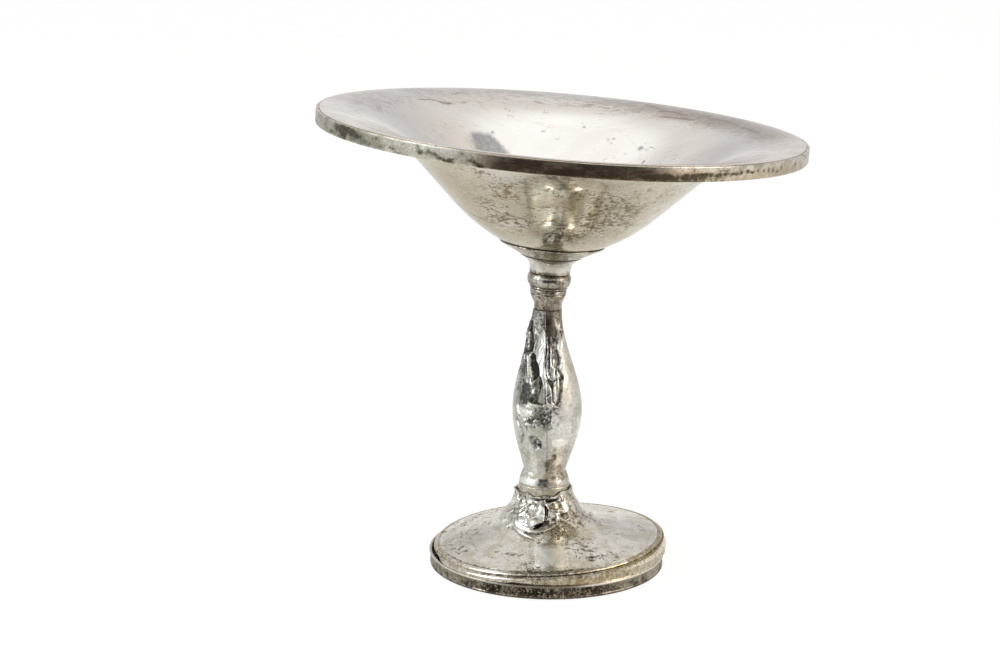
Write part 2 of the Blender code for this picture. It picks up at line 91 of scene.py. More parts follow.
def bumped(tree, height, depth, strength=1.0):
    """The way the surface faces under a fine relief, whose depth is in millimetres."""
    return put(tree, "ShaderNodeBump", {
        "Height": height, "Distance": depth * MM, "Strength": strength,
    }).outputs[0]


def rgb(red, green, blue):
    return (red, green, blue, 1.0)


def bare_material(name):
    """A material with its tree and its shader, before anything feeds them."""
    material = bpy.data.materials.new(name)
    material.use_nodes = True
    tree = material.node_tree
    return material, tree, tree.nodes["Principled BSDF"]


def dress(material, *nodes):
    """Solids that are shown as they are, under a better material."""
    for node in nodes:
        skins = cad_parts[node].data.materials
        skins.clear()
        skins.append(material)


FELT_DEEP = rgb(0.012, 0.045, 0.024)
FELT_NAP = rgb(0.045, 0.110, 0.060)
felt, tree, shader = bare_material("green_felt")
nap = noise(tree, on_piece(tree), scale=1500.0, detail=4.0)
feed(tree, shader, {
    "Base Color": laid_over(tree, between(tree, nap, 0.35, 0.7), FELT_DEEP, FELT_NAP),
    "Normal": bumped(tree, nap, depth=0.3, strength=0.8),
    "Roughness": 0.95,
    "Sheen Weight": 0.4,
})
dress(felt, "felt_pad")


# Cement: plaster cement poured into the foot and the stem to weight and stiffen the thin silver.
# It is hidden by the silver; grey-buff, with sand grains and small air holes.
CEMENT_PALE = rgb(0.50, 0.47, 0.41)
CEMENT_DARK = rgb(0.26, 0.24, 0.21)
cement, tree, shader = bare_material("poured_cement")
place = on_piece(tree)
sand = noise(tree, place, scale=420.0, detail=6.0)
holes = put(tree, "ShaderNodeTexVoronoi", {"Vector": place, "Scale": 380.0}).outputs["Distance"]
pores = between(tree, holes, 0.12, 0.3)
feed(tree, shader, {
    "Base Color": laid_over(tree, sum_of(tree, "MULTIPLY", sand, pores), CEMENT_DARK, CEMENT_PALE),
    "Normal": bumped(tree, pores, depth=0.2, strength=0.6),
    "Roughness": 0.9,
})
dress(cement, "foot_weight", "stem_fill")


# Tie rod, washer and nuts: drawn steel rod with a steel nut and washer under the weight and a brass nut in the boss.
# They clamp foot, stem and bowl together and are never seen.
def drawn_metal(name, bright, dull):
    """Plain machined metal with turning marks."""
    material, tree, shader = bare_material(name)
    lines = put(tree, "ShaderNodeMapping", {"Vector": on_piece(tree), "Scale": (300.0, 300.0, 4000.0)}).outputs[0]
    marks = noise(tree, lines, scale=1.0, detail=3.0)
    feed(tree, shader, {
        "Base Color": laid_over(tree, marks, dull, bright),
        "Roughness": between(tree, marks, 0.3, 0.7, 0.35, 0.55),
        "Metallic": 1.0,
    })
    return material


dress(drawn_metal("drawn_steel", rgb(0.50, 0.49, 0.48), rgb(0.30, 0.29, 0.28)), "tie_rod", "rod_washer", "rod_nut")
dress(drawn_metal("turned_brass", rgb(0.70, 0.52, 0.24), rgb(0.44, 0.31, 0.13)), "boss_nut")


# Base ring: a drawn silver band with a lip above and below and a dark, speckled face that is rubbed paler at the sides.
# The foot's skirt was pushed into it; its flange holds the weight.
def shader_group(name, inputs, outputs):
    """An empty group of shader nodes with named sockets, what it is given, and its last node."""
    group = bpy.data.node_groups.new(name, "ShaderNodeTree")
    for label, kind, value in inputs:
        group.interface.new_socket(label, in_out="INPUT", socket_type="NodeSocket" + kind).default_value = value
    for label, kind in outputs:
        group.interface.new_socket(label, in_out="OUTPUT", socket_type="NodeSocket" + kind)
    return group, group.nodes.new("NodeGroupInput").outputs, group.nodes.new("NodeGroupOutput")


def shifted_place(tree, stretch, shift):
    """The place on the piece, stretched and moved along so that no two pieces show the same pattern."""
    return put(tree, "ShaderNodeVectorMath", {0: on_piece(tree), 1: stretch, 2: shift},
               operation="MULTIPLY_ADD").outputs[0]


# A film of tarnish that lies over clean silver in soft clouds
FILM_SOFT = 0.13
film_group, given, result = shader_group("tarnish_film", [
    ("Clean", "Color", rgb(0.8, 0.8, 0.8)), ("Film", "Color", rgb(0.4, 0.4, 0.3)), ("Cover", "Float", 0.5),
    ("Scale", "Float", 40.0), ("Stretch", "Vector", (1.0, 1.0, 1.0)), ("Shift", "Vector", (0.0, 0.0, 0.0)),
], [("Color", "Color"), ("Mask", "Float")])
place = shifted_place(film_group, given["Stretch"], given["Shift"])
clouds = noise(film_group, place, given["Scale"], detail=6.0, roughness=0.62, distortion=0.5)
edge = sum_of(film_group, "MULTIPLY_ADD", given["Cover"], -0.5, 0.75)
mask = between(film_group, clouds, sum_of(film_group, "SUBTRACT", edge, FILM_SOFT),
               sum_of(film_group, "ADD", edge, FILM_SOFT))
feed(film_group, result, {"Color": laid_over(film_group, mask, given["Clean"], given["Film"]), "Mask": mask})

# Small dark specks and squiggles that gather in patches
SPECK_PATCH = 0.13
speck_group, given, result = shader_group("dark_specks", [
    ("Amount", "Float", 0.5), ("Scale", "Float", 300.0), ("Soft", "Float", 0.07),
    ("Stretch", "Vector", (1.0, 1.0, 1.0)), ("Shift", "Vector", (0.0, 0.0, 0.0)),
], [("Mask", "Float")])
place = shifted_place(speck_group, given["Stretch"], given["Shift"])
fine = noise(speck_group, place, given["Scale"], detail=3.0, roughness=0.55, distortion=0.8)
patches = noise(speck_group, place, sum_of(speck_group, "MULTIPLY", given["Scale"], SPECK_PATCH), detail=3.0)
level = sum_of(speck_group, "MULTIPLY_ADD", given["Amount"], -0.28, 1.05)
level = sum_of(speck_group, "MULTIPLY_ADD", patches, -0.55, level)
feed(speck_group, result, {
    "Mask": between(speck_group, fine, level, sum_of(speck_group, "ADD", level, given["Soft"])),
})

# Wear of a polished skin: hairline scratches in three directions, faint dimples and a fine grain of tarnish
DIMPLE_SCALE, GRAIN_SCALE = 0.5, 3.2
wear_group, given, result = shader_group("polish_wear", [
    ("Scale", "Float", 500.0), ("Shift", "Vector", (0.0, 0.0, 0.0)),
], [("Scratches", "Float"), ("Height", "Float"), ("Grain", "Float")])
place = shifted_place(wear_group, (1.0, 1.0, 1.0), given["Shift"])
scratches = 0.0
for turn in (0.4, 1.3, 2.3):
    hair_place = put(wear_group, "ShaderNodeMapping", {
        "Vector": place, "Rotation": (turn, 0.7 * turn, turn), "Scale": (0.05, 1.0, 1.0),
    }).outputs[0]
    hair = between(wear_group, noise(wear_group, hair_place, given["Scale"], detail=2.0), 0.60, 0.68)
    scratches = sum_of(wear_group, "MAXIMUM", hair, scratches)
dimples = noise(wear_group, place, sum_of(wear_group, "MULTIPLY", given["Scale"], DIMPLE_SCALE), detail=3.0)
grains = noise(wear_group, place, sum_of(wear_group, "MULTIPLY", given["Scale"], GRAIN_SCALE), detail=3.0,
               roughness=0.6)
feed(wear_group, result, {
    "Scratches": scratches, "Height": dimples, "Grain": between(wear_group, grains, 0.42, 0.66),
})


def from_group(tree, group, **values):
    """What a placed copy of a group gives for its own values."""
    return put(tree, "ShaderNodeGroup", values, node_tree=group).outputs


def old_silver(name, clean, film, cover, film_scale, specks, speck_scale, speck_colour, shift, rough,
               stretch=(1.0, 1.0, 1.0), film_rough=0.12, dimple=0.02, grain=0.0, soft=0.07, pits=0.5):
    """Worn silver: a clean colour under a film of tarnish, specks, grain and scratches.

    Its colour is given back with it, so that a piece can lay stains of its own over it.
    """
    material, tree, shader = bare_material(name)
    filmed = from_group(tree, film_group, Clean=clean, Film=film, Cover=cover, Scale=film_scale, Stretch=stretch,
                        Shift=shift)
    speckled = from_group(tree, speck_group, Amount=specks, Scale=speck_scale, Soft=soft, Stretch=stretch,
                          Shift=shift)["Mask"]
    worn = from_group(tree, wear_group, Shift=shift)
    colour = laid_over(tree, speckled, filmed["Color"], speck_colour)
    colour = laid_over(tree, sum_of(tree, "MULTIPLY", worn["Grain"], grain), colour, speck_colour)
    dull = sum_of(tree, "MULTIPLY_ADD", filmed["Mask"], film_rough, rough)
    dull = sum_of(tree, "MULTIPLY_ADD", speckled, 0.6 * pits, dull)
    dull = sum_of(tree, "MULTIPLY_ADD", worn["Scratches"], 0.06, dull)
    relief = sum_of(tree, "MULTIPLY_ADD", speckled, -pits, worn["Height"])
    feed(tree, shader, {
        "Base Color": colour, "Roughness": dull, "Normal": bumped(tree, relief, dimple), "Metallic": 1.0,
    })
    return material, tree, shader, colour


# Geometry Nodes that turn a line of (radius, height) points once round Z and skin it with a material
turning = bpy.data.node_groups.new("turned_profile", "GeometryNodeTree")
turning_socket = {}
for label, way, kind in (("Line", "INPUT", "Geometry"), ("Steps", "INPUT", "Int"), ("Crease", "INPUT", "Float"),
                         ("Skin", "INPUT", "Material"), ("Piece", "OUTPUT", "Geometry")):
    turning_socket[label] = turning.interface.new_socket(
        label, in_out=way, socket_type="NodeSocket" + kind).identifier
given = turning.nodes.new("NodeGroupInput").outputs
result = turning.nodes.new("NodeGroupOutput")
MERGE_GAP = 0.002


def whole(operation, first, second):
    """One step of whole-number arithmetic in the turning tree."""
    return put(turning, "FunctionNodeIntegerMath", {0: first, 1: second}, operation=operation).outputs[0]


line_count = put(turning, "GeometryNodeAttributeDomainSize", {"Geometry": given["Line"]}).outputs["Point Count"]
grid = put(turning, "GeometryNodeMeshGrid", {
    "Vertices X": whole("ADD", given["Steps"], 1), "Vertices Y": line_count,
}).outputs["Mesh"]
index = put(turning, "GeometryNodeInputIndex").outputs[0]
row = whole("MODULO", index, line_count)
turn = sum_of(turning, "MULTIPLY", whole("DIVIDE_FLOOR", index, line_count), 2 * math.pi)
turn = sum_of(turning, "DIVIDE", turn, given["Steps"])
spot = put(turning, "GeometryNodeSampleIndex", {
    "Geometry": given["Line"], "Value": put(turning, "GeometryNodeInputPosition").outputs[0], "Index": row,
}, data_type="FLOAT_VECTOR").outputs["Value"]
spot = put(turning, "ShaderNodeSeparateXYZ", {"Vector": spot}).outputs
ring_place = put(turning, "ShaderNodeCombineXYZ", {
    "X": sum_of(turning, "MULTIPLY", spot["X"], sum_of(turning, "COSINE", turn)),
    "Y": sum_of(turning, "MULTIPLY", spot["X"], sum_of(turning, "SINE", turn)),
    "Z": spot["Z"],
}).outputs[0]
along = sum_of(turning, "DIVIDE", row, sum_of(turning, "SUBTRACT", line_count, 1))
sharp = put(turning, "FunctionNodeCompare", {
    "A": put(turning, "GeometryNodeInputMeshEdgeAngle").outputs["Unsigned Angle"], "B": given["Crease"],
}, data_type="FLOAT", operation="GREATER_THAN").outputs[0]
made = grid
for kind, sockets, settings in (
    ("StoreNamedAttribute", {"Name": "along", "Value": along}, {"data_type": "FLOAT"}),
    ("SetPosition", {"Position": ring_place}, {}),
    ("MergeByDistance", {"Distance": MERGE_GAP * MM}, {}),
    ("SetShadeSmooth", {}, {}),
    ("SetShadeSmooth", {"Selection": sharp, "Shade Smooth": False}, {"domain": "EDGE"}),
    ("RealizeInstances", {}, {}),
    ("SetMaterial", {"Material": given["Skin"]}, {}),
):
    made = put(turning, "GeometryNode" + kind, {"Geometry": made, **sockets}, **settings).outputs["Geometry"]
feed(turning, result, {"Piece": made})


def turned(name, line, steps, skin, crease=40.0):
    """A line in millimetres, listed up the outer side and then down the inner one, turned into a plain mesh."""
    mesh = bpy.data.meshes.new(name + "_line")
    mesh.from_pydata([(radius * MM, 0.0, height * MM) for radius, height in line], [], [])
    piece = bpy.data.objects.new(name, mesh)
    bpy.context.scene.collection.objects.link(piece)
    lathe = piece.modifiers.new("turning", "NODES")
    lathe.node_group = turning
    for label, value in (("Steps", steps), ("Crease", math.radians(crease)), ("Skin", skin)):
        lathe[turning_socket[label]] = value
    graph = bpy.context.evaluated_depsgraph_get()
    piece.data = bpy.data.meshes.new_from_object(piece.evaluated_get(graph))
    piece.modifiers.clear()
    return piece


def rounded(corners, steps=6, most=0.48):
    """A closed line through corners (radius, height, rounding), each rounded off over at most a share of its sides."""
    line = []
    for i, (radius, height, rounding) in enumerate(corners):
        here = np.array((radius, height))
        if not rounding:
            line.append(tuple(here))
            continue
        ends = []
        for beside in (corners[i - 1], corners[(i + 1) % len(corners)]):
            side = np.array(beside[:2]) - here
            length = np.linalg.norm(side)
            ends.append(here + side / length * min(rounding, most * length))
        for t in (k / steps for k in range(steps + 1)):
            line.append(tuple((1 - t) ** 2 * ends[0] + 2 * t * (1 - t) * here + t ** 2 * ends[1]))
    line.append(line[0])
    return line


def stand(piece, place=(0.0, 0.0, 0.0), lean=0.0):
    """Puts a turned piece on its axis: a place in millimetres and a lean to the right in degrees."""
    piece.data.transform(Matrix.Translation(Vector(place) * MM) @ Matrix.Rotation(math.radians(lean), 4, "Y"))


def hand_over(piece, node):
    """Puts a finished piece under the root body, and hides the solid that it stands for."""
    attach(piece, "root")
    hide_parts(node)


RING_LOW, RING_HIGH, RING_FLANGE = 0.4, 4.6, 33.6
RING_WORN = rgb(0.68, 0.63, 0.52)
LIP_DARK, LIP_LEFT, LIP_RIGHT = rgb(0.28, 0.245, 0.195), rgb(0.70, 0.67, 0.60), rgb(0.82, 0.77, 0.74)
ring_skin, tree, shader, colour = old_silver(
    "dark_ring_silver", clean=rgb(0.47, 0.42, 0.33), film=rgb(0.09, 0.07, 0.048), cover=0.60, film_scale=720.0,
    specks=1.1, speck_scale=1300.0, speck_colour=rgb(0.03, 0.024, 0.018), shift=(0.3, 0.1, 0.0), rough=0.24,
    stretch=(1.0, 1.0, 1.1))
place = on_piece(tree)
blotches = noise(tree, place, scale=330.0, detail=4.0)
place = put(tree, "ShaderNodeSeparateXYZ", {"Vector": place}).outputs
worn_sides = sum_of(tree, "MAXIMUM", between(tree, place["X"], -16.0 * MM, -35.0 * MM, 0.0, 0.45),
                    between(tree, place["X"], 14.0 * MM, 34.0 * MM, 0.0, 0.52))
worn_sides = sum_of(tree, "MULTIPLY", worn_sides, between(tree, blotches, 0.38, 0.56, 0.25, 1.3))
colour = laid_over(tree, worn_sides, colour, RING_WORN)
low_lip = between(tree, place["Z"], (RING_LOW + 0.3) * MM, (RING_LOW + 0.8) * MM, 0.7, 0.0)
colour = laid_over(tree, low_lip, colour, rgb(0.16, 0.135, 0.10))
lip_colour = laid_over(tree, between(tree, place["X"], -6.0 * MM, -24.0 * MM), LIP_DARK, LIP_LEFT)
lip_colour = laid_over(tree, between(tree, place["X"], 7.0 * MM, 15.0 * MM), lip_colour, LIP_RIGHT)
lip = between(tree, place["Z"], (RING_HIGH - 0.75) * MM, (RING_HIGH - 0.55) * MM, 0.0, 0.85)
feed(tree, shader, {"Base Color": laid_over(tree, lip, colour, lip_colour)})
base_ring = turned("base_ring_band", rounded([
    (RING_FLANGE, RING_LOW, 0.0), (37.45, RING_LOW, 0.15), (37.45, 0.95, 0.15), (37.25, 1.2, 0.1),
    (37.56, 3.85, 0.1), (37.75, 4.05, 0.15), (37.75, RING_HIGH, 0.25), (37.0, RING_HIGH, 0.2),
    (36.4, 0.9, 0.2), (RING_FLANGE, 0.9, 0.0),
]), 220, ring_skin)
hand_over(base_ring, "base_ring")


# Foot cover: thin spun silver, a flat flange with a rolled edge and a skirt, flaring up to a mouth for the stem.
# It was knocked: the neck is crumpled at the front left, and the right edge has lifted out of the ring.
COVER_PLACE = (0.5, 0.0, 6.987)
COVER_LEAN = -2.9
COVER_SHEET = 0.45
MOUTH_HEIGHT, MOUTH_RADIUS = 18.097, 9.0
SKIRT_END = -3.9
BEAD_RADIUS = 37.3
FLANGE_EDGE, FLANGE_SLOPE, NECK_HEIGHT = 34.75, 13.5, 1.5
# the neck's marks are measured round from this angle, at this radius
NECK_FRONT, NECK_RADIUS = 262, 10.5


def arc(start, slope_from, slope_to, run, steps):
    """Points after start on an arc whose slope turns from one angle to another, in degrees, over a run outwards."""
    first, last = math.radians(slope_from), math.radians(slope_to)
    size = run / (math.sin(last) - math.sin(first))
    slopes = [first + (last - first) * i / steps for i in range(1, steps + 1)]
    return [(start[0] + size * (math.sin(slope) - math.sin(first)),
             start[1] + size * (math.cos(first) - math.cos(slope))) for slope in slopes]


def finely(line, gap):
    """The same line with a point at least every gap millimetres."""
    fine_line = [line[0]]
    for (r0, z0), (r1, z1) in zip(line, line[1:]):
        count = max(1, math.ceil(math.hypot(r1 - r0, z1 - z0) / gap))
        for k in range(1, count + 1):
            fine_line.append((r0 + (r1 - r0) * k / count, z0 + (z1 - z0) * k / count))
    return fine_line


def inside_of(line, wall):
    """The inner side of a sheet whose outer side is a line listed upwards."""
    points = np.array(line)
    way = np.gradient(points, axis=0)
    way /= np.linalg.norm(way, axis=1)[:, None]
    inner = points + wall * np.stack([-way[:, 1], way[:, 0]], axis=1)
    return [(max(0.0, r), z) for r, z in inner]


def reshape(piece, rule):
    """Moves the points of a piece by a rule on their millimetres, and keeps the films that the rule lays on them."""
    points = np.empty(len(piece.data.vertices) * 3)
    piece.data.vertices.foreach_get("co", points)
    moved, films = rule(points.reshape(-1, 3) / MM)
    piece.data.vertices.foreach_set("co", (moved * MM).ravel())
    piece.data.update()
    for name, share in films.items():
        kept = piece.data.attributes.new(name, "FLOAT", "POINT")
        kept.data.foreach_set("value", np.clip(share, 0.0, 1.0))


def smooth(value, low, high):
    """Nought below a limit and one above another, with a soft start and end."""
    t = np.clip((value - low) / (high - low), 0.0, 1.0)
    return t * t * (3 - 2 * t)


def window(value, low, high, soft):
    """One between two limits and nought outside, with soft ends."""
    return smooth(value, low - soft, low + soft) * (1 - smooth(value, high - soft, high + soft))


def hump(value, middle, width):
    """One at the middle, falling off to both sides."""
    return np.exp(-((value - middle) / width) ** 2)


def across(angle, middle, radius):
    """Millimetres round a piece from a middle angle, at a radius."""
    return np.radians(angle - middle) * radius


def to_path(s, z, path):
    """Distance of points from a crease, a chain of (across, height) points."""
    nearest = np.full(s.shape, 1e9)
    for (s0, z0), (s1, z1) in zip(path, path[1:]):
        ds, dz = s1 - s0, z1 - z0
        t = np.clip(((s - s0) * ds + (z - z0) * dz) / (ds * ds + dz * dz), 0.0, 1.0)
        nearest = np.minimum(nearest, np.hypot(s - s0 - t * ds, z - z0 - t * dz))
    return nearest


def within(s, z, outline):
    """How far points lie inside an outline of (across, height) corners, or outside it if negative."""
    inside = np.zeros(s.shape, bool)
    for (s0, z0), (s1, z1) in zip(outline, outline[1:] + outline[:1]):
        inside ^= ((z0 > z) != (z1 > z)) & (s < s0 + (s1 - s0) * (z - z0) / (z1 - z0 + 1e-9))
    return np.where(inside, 1, -1) * to_path(s, z, outline + outline[:1])


# pale worn metal and painted highlights, brown film, and black grime and painted shade, in the order in which they lie
# on each other
FILMS = ("pale", "brown", "grime_and_shade")


def knocked(s, z, patches, creases):
    """What knocks do to a sheet: how far it is pushed out or in, and the films that lie on it.

    A patch is an outline, its soft edge, a depth and a tilt across it; a crease is a chain of points, a width and a
    height. Both end in their shares of the three films.
    """
    push = np.zeros(s.shape)
    films = {name: np.zeros(s.shape) for name in FILMS}
    for outline, soft, depth, tilt, *shares in patches:
        cover = smooth(within(s, z, outline), -soft, soft)
        push += cover * (depth + tilt * (s - np.mean([corner[0] for corner in outline])))
        for name, share in zip(FILMS, shares):
            films[name] += share * cover
    for path, width, depth, *shares in creases:
        cover = np.clip(1 - to_path(s, z, path) / width, 0, 1)
        push += depth * cover ** 1.3
        for name, share in zip(FILMS, shares):
            films[name] += share * np.minimum(1.0, 1.6 * cover)
    return push, films


def crumple(s, z, size, seed, waves=4):
    """Facets with sharp edges, as thin sheet makes when it is crushed: between -1 and 1."""
    rng = np.random.default_rng(seed)
    total = np.zeros(s.shape)
    warp_s = s + 0.35 * size * np.sin(z / size * 2.1 + 1.0)
    warp_z = z + 0.35 * size * np.sin(s / size * 1.7 + 2.0)
    for _ in range(waves):
        turn = rng.uniform(0, math.pi)
        wave = (warp_s * math.cos(turn) + warp_z * math.sin(turn)) / (size * rng.uniform(0.7, 1.5))
        wave += rng.uniform(0, 1)
        total += 4 * np.abs(wave - np.floor(wave) - 0.5) - 1
    return total / waves


def round_turn(points):
    """Angle in degrees from +X towards +Y, from 0 to 360, and radius."""
    return np.degrees(np.arctan2(points[:, 1], points[:, 0])) % 360, np.hypot(points[:, 0], points[:, 1])


def press(points, push, radius):
    """Points moved out from their axis, or in."""
    out = points.copy()
    out[:, :2] *= (1 + push / np.maximum(radius, 1.0))[:, None]
    return out


def on_neck(*corners):
    """Places on the foot's neck, given as (angle, height), in millimetres across and up."""
    return [(across(angle, NECK_FRONT, NECK_RADIUS), height) for angle, height in corners]


def film_at(tree, name):
    """A film that the piece keeps at its points."""
    return put(tree, "ShaderNodeAttribute", attribute_name=name).outputs["Fac"]


def lay_dirt_and_painted_light(tree, shader, colour, pale, brown, grime_and_shade, ragged=1.0, fine=620.0):
    """Lays the films of a piece over a colour, each with a ragged edge, painted light and shade among them. Grime and
    painted shade are dull, and so is haze.
    """
    rag = noise(tree, on_piece(tree), fine, detail=5.0, roughness=0.65)
    for name, over in zip(FILMS, (pale, brown, grime_and_shade)):
        kept = film_at(tree, name)
        reach = sum_of(tree, "MULTIPLY_ADD", sum_of(tree, "SUBTRACT", rag, 0.5), ragged, kept)
        share = sum_of(tree, "MULTIPLY", between(tree, reach, 0.05, 1.0), between(tree, kept, 0.0, 0.15))
        colour = laid_over(tree, share, colour, over)
    polish = shader.inputs["Roughness"].links[0].from_socket
    dull = sum_of(tree, "MULTIPLY_ADD", film_at(tree, "haze"), 0.25, polish)
    feed(tree, shader, {"Base Color": colour, "Roughness": sum_of(tree, "MULTIPLY_ADD", share, 0.2, dull)})


NECK_PATCHES = (
    # slots where the torn mouth gapes under the collar, painted black as shade
    (on_neck((241, 17.4), (253, 17.5), (261, 17.2), (271, 17.0), (271, 16.6), (261, 16.6), (250, 16.8)),
     0.25, -0.6, 0, 0, 0.4, 0.5),
    (on_neck((271, 16.7), (282, 17.0), (292, 17.1), (300, 17.1), (293, 16.3), (281, 16.0), (272.5, 15.6)),
     0.25, -0.8, 0, 0, 0.5, 0.7),
    # bright facet that rises to an upright ridge, and the hollow behind the ridge
    (on_neck((262.5, 15.2), (269, 14.6), (269, 12.3), (267, 10.2), (262, 10.9), (253, 12.6), (258.4, 13.4)),
     0.2, 0.5, 0.42, 0.8, 0, 0),
    (on_neck((270.5, 14.5), (275, 13.4), (273, 11.4), (268.3, 9.8), (269.6, 12.3)), 0.25, -0.6, 0, 0, 0.3, 0.25),
    # lens-shaped fold to the right of it, with glints at its end
    (on_neck((275.7, 14.5), (284, 15.3), (297, 15.7), (302, 14.9), (301.4, 13.4), (289, 13.2), (279, 13.8)),
     0.3, -0.6, 0, 0, 0.5, 0.1),
    (on_neck((306, 16.8), (312, 16.6), (310, 15.3), (305, 15.4)), 0.25, 0.35, -0.4, 0.9, 0, 0),
    (on_neck((297.4, 10.7), (300.8, 11.4), (307.6, 11.8), (310.7, 12.1), (318, 11.0), (310.7, 10.7), (302, 10.3)),
     0.3, 0.4, -0.3, 0.9, 0, 0),
    (on_neck((295, 12.1), (302, 12.0), (298.3, 11.0), (295, 11.3)), 0.3, -0.3, 0, 0, 0.2, 0.5),
    # pocket torn open under the overhang, painted black as shade, its grey mouth and the shelf above it
    (on_neck((251.6, 8.6), (255.2, 9.3), (260.9, 9.8), (265.3, 9.7), (263.9, 9.2), (258.5, 8.6), (254.6, 8.3)),
     0.2, -2.0, 0, 0, 0, 1.3),
    (on_neck((265.3, 10.0), (274.4, 10.2), (278.6, 9.9), (270.9, 9.1), (265.4, 9.1)), 0.25, -0.6, 0, 0, 0.1, 0.4),
    (on_neck((269.9, 10.2), (274.7, 10.8), (275.2, 10.3), (271.3, 9.9)), 0.25, -0.2, 0, 0, 0, 0.5),
    (on_neck((278, 10.8), (286.7, 11.4), (284, 10.4), (279, 10.3)), 0.25, -0.3, 0, 0, 0.2, 0.5),
    (on_neck((229, 9.8), (240, 9.8), (250, 9.6), (246.7, 8.9), (236.4, 9.2)), 0.3, 0.2, 0, 0.35, 0, 0),
    # worn spot and brown blot below the ledges, and the brown side of the neck
    (on_neck((263.2, 7.2), (270.5, 7.6), (272.5, 6.7), (268, 5.7), (264, 5.7)), 0.4, 0, 0, 0.5, 0, 0),
    (on_neck((280, 7.3), (283.6, 6.5), (284.3, 5.7), (280.3, 5.8), (278, 6.6)), 0.4, 0, 0, 0, 0.5, 0.3),
    (on_neck((272, 12.6), (296, 11.8), (318, 12.5), (330, 9), (322, 5.5), (300, 4.6), (280, 5.4), (276, 8)),
     1.2, 0, 0, 0, 0.24, 0.08),
)
NECK_CREASES = (
    (on_neck((273.9, 14.6), (282.3, 15.5), (295.1, 16.0), (301.8, 16.1)), 0.55, 0.6, 0.8, 0, 0),
    (on_neck((273.6, 14.2), (276.9, 13.6), (283.6, 13.1), (292.4, 12.8), (302, 12.7)), 0.5, 0.5, 0.6, 0, 0),
    (on_neck((270.0, 14.4), (269.6, 12.2), (267.8, 10.2)), 0.35, 0, 0, 0, 0.5),
    (on_neck((249.4, 8.1), (261.6, 7.9), (270.7, 8.4), (277.8, 9.0), (285.8, 9.6)), 0.4, 0.22, 0.35, 0, 0),
    (on_neck((245, 7.5), (250.8, 7.3), (258.4, 7.2), (265.6, 7.5)), 0.45, -0.35, 0, 0, 0.6),
    (on_neck((214, 8.3), (227.6, 8.1), (236.3, 7.6), (247.9, 6.8), (257.1, 6.3), (262.6, 6.2), (265.7, 6.7)),
     0.45, 0.14, 0.2, 0, 0),
    (on_neck((218, 8.0), (236, 7.15), (249, 6.35), (257.5, 5.95), (263, 5.8)), 0.5, -0.3, 0, 0, 0.35),
    (on_neck((275.7, 8.0), (275, 6.3)), 0.4, -0.15, 0, 0, 0.5),
)
# dark marks on the flange: angle, radius and strength
FLANGE_MARKS = (
    (212, 30.5, 0.8), (204, 29.5, 0.6), (196, 32, 0.5), (208, 26.7, 0.45), (218, 18.1, 0.7), (241.5, 25.7, 0.8),
    (246, 26.1, 0.7), (233, 26.4, 0.45), (228, 29.2, 0.3), (297.6, 29.9, 0.9), (295.5, 31.4, 0.8),
    (301.3, 26.8, 0.7), (299.5, 24.6, 0.5), (306, 25.8, 0.4), (307.8, 19.5, 0.6), (301.4, 16.5, 0.5),
    (298.9, 22.0, 0.6), (338, 24.2, 0.45), (332, 21.1, 0.4), (352.7, 27, 0.6), (3, 30.1, 0.7), (355.5, 30.6, 0.6),
    (8.6, 27.6, 0.45), (191.5, 23.7, 0.45), (184.4, 19.1, 0.5), (197, 21.8, 0.4),
)
MARK_WIDE, MARK_TALL = 1.1, 0.8


